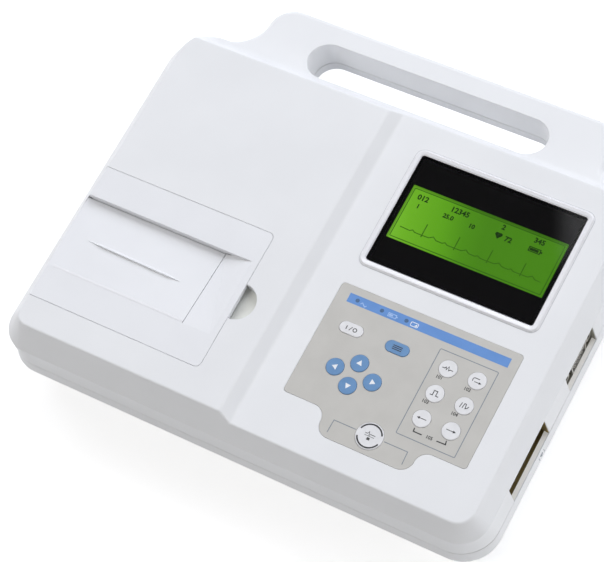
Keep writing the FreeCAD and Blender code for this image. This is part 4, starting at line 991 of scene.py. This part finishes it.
# Floor and light
floorLook = {"colour": "EFEFEF", "shade": "EBEBEB", "blotch": 0.4, "rough": 0.8, "specular": 0.2,
             "size": 12.0, "below": 0.0005, "lift": 0.48}
lightLooks = [
    {"name": "back_light", "from": (0.03, 0.80, 0.60), "distance": 4.4, "size": 3.4, "power": 157.0,
     "colour": "F5F8FF"},
    {"name": "left_light", "from": (-0.75, 0.35, 0.56), "distance": 4.4, "size": 1.8, "power": 41.0,
     "colour": "F5F8FF"},
    {"name": "front_light", "from": (-0.5, -0.5, 0.7), "distance": 4.4, "size": 1.8, "power": 66.5,
     "colour": "FFFDFA"},
    {"name": "side_light", "from": (0.97, -0.05, 0.22), "distance": 2.0, "size": 1.0, "power": 13.9,
     "colour": "FFFFFF"},
]
skyLook = {"colour": "FDFDFF", "strength": 0.14, "glow": (-0.112, 0.4545, 0.8836), "glowEdge": (8.4, 7.6),
           "glowStrength": 0.95}


def addFloor(look):
    made = Finish("studio_floor")
    made.tint(made.noise(look["blotch"], "blotch"), look)
    made.put(Roughness=look["rough"], Specular_IOR_Level=look["specular"], Emission_Color=white)
    path = made.add("ShaderNodeLightPath")  # the lift is seen, but lights no matt surface
    seen = made.sums("MAXIMUM", path.outputs["Is Camera Ray"], path.outputs["Is Glossy Ray"])
    seen = made.sums("MAXIMUM", seen, path.outputs["Is Transmission Ray"])
    made.join(made.sums("MULTIPLY", seen, look["lift"]), made.shader.inputs["Emission Strength"])
    half = look["size"] / 2
    corners = [(x, y, 0) for x, y in oblong(-half, -half, half, half)[0]]
    floor = meshObject("studio_floor", corners, [(0, 1, 2, 3)], made.material)
    floor.location.z = cadBox[0].z - look["below"]


def addLight(look):
    lamp = bpy.data.lights.new(look["name"], "AREA")
    lamp.size = look["size"]
    lamp.energy = look["power"]
    lamp.color = fromHex(look["colour"])[:3]
    holder = linked(look["name"], lamp)
    way = Vector(look["from"]).normalized()
    holder.location = way * look["distance"]
    holder.rotation_euler = way.to_track_quat("Z", "Y").to_euler()


def addSky(look):
    sky = bpy.data.worlds.new("studio_sky")
    sky.use_nodes = True
    tree = sky.node_tree
    back = tree.nodes["Background"]
    back.inputs["Color"].default_value = fromHex(look["colour"])
    way = tree.nodes.new("ShaderNodeVectorMath")  # a soft round patch of brighter sky
    way.operation = "DOT_PRODUCT"
    way.inputs[1].default_value = Vector(look["glow"]).normalized()
    tree.links.new(tree.nodes.new("ShaderNodeTexCoord").outputs["Generated"], way.inputs[0])
    edge = tree.nodes.new("ShaderNodeMapRange")
    edge.interpolation_type = "SMOOTHSTEP"
    sides = [math.cos(math.radians(angle)) for angle in look["glowEdge"]]
    levels = (look["strength"], look["strength"] + look["glowStrength"])
    for socket, value in zip(rangeSockets, (*sides, *levels)):
        edge.inputs[socket].default_value = value
    tree.links.new(way.outputs["Value"], edge.inputs["Value"])
    tree.links.new(edge.outputs[0], back.inputs["Strength"])
    bpy.context.scene.world = sky


addFloor(floorLook)
for lightLook in lightLooks:
    addLight(lightLook)
addSky(skyLook)
bpy.context.scene.view_settings.view_transform = "Standard"
print("floor and light set")
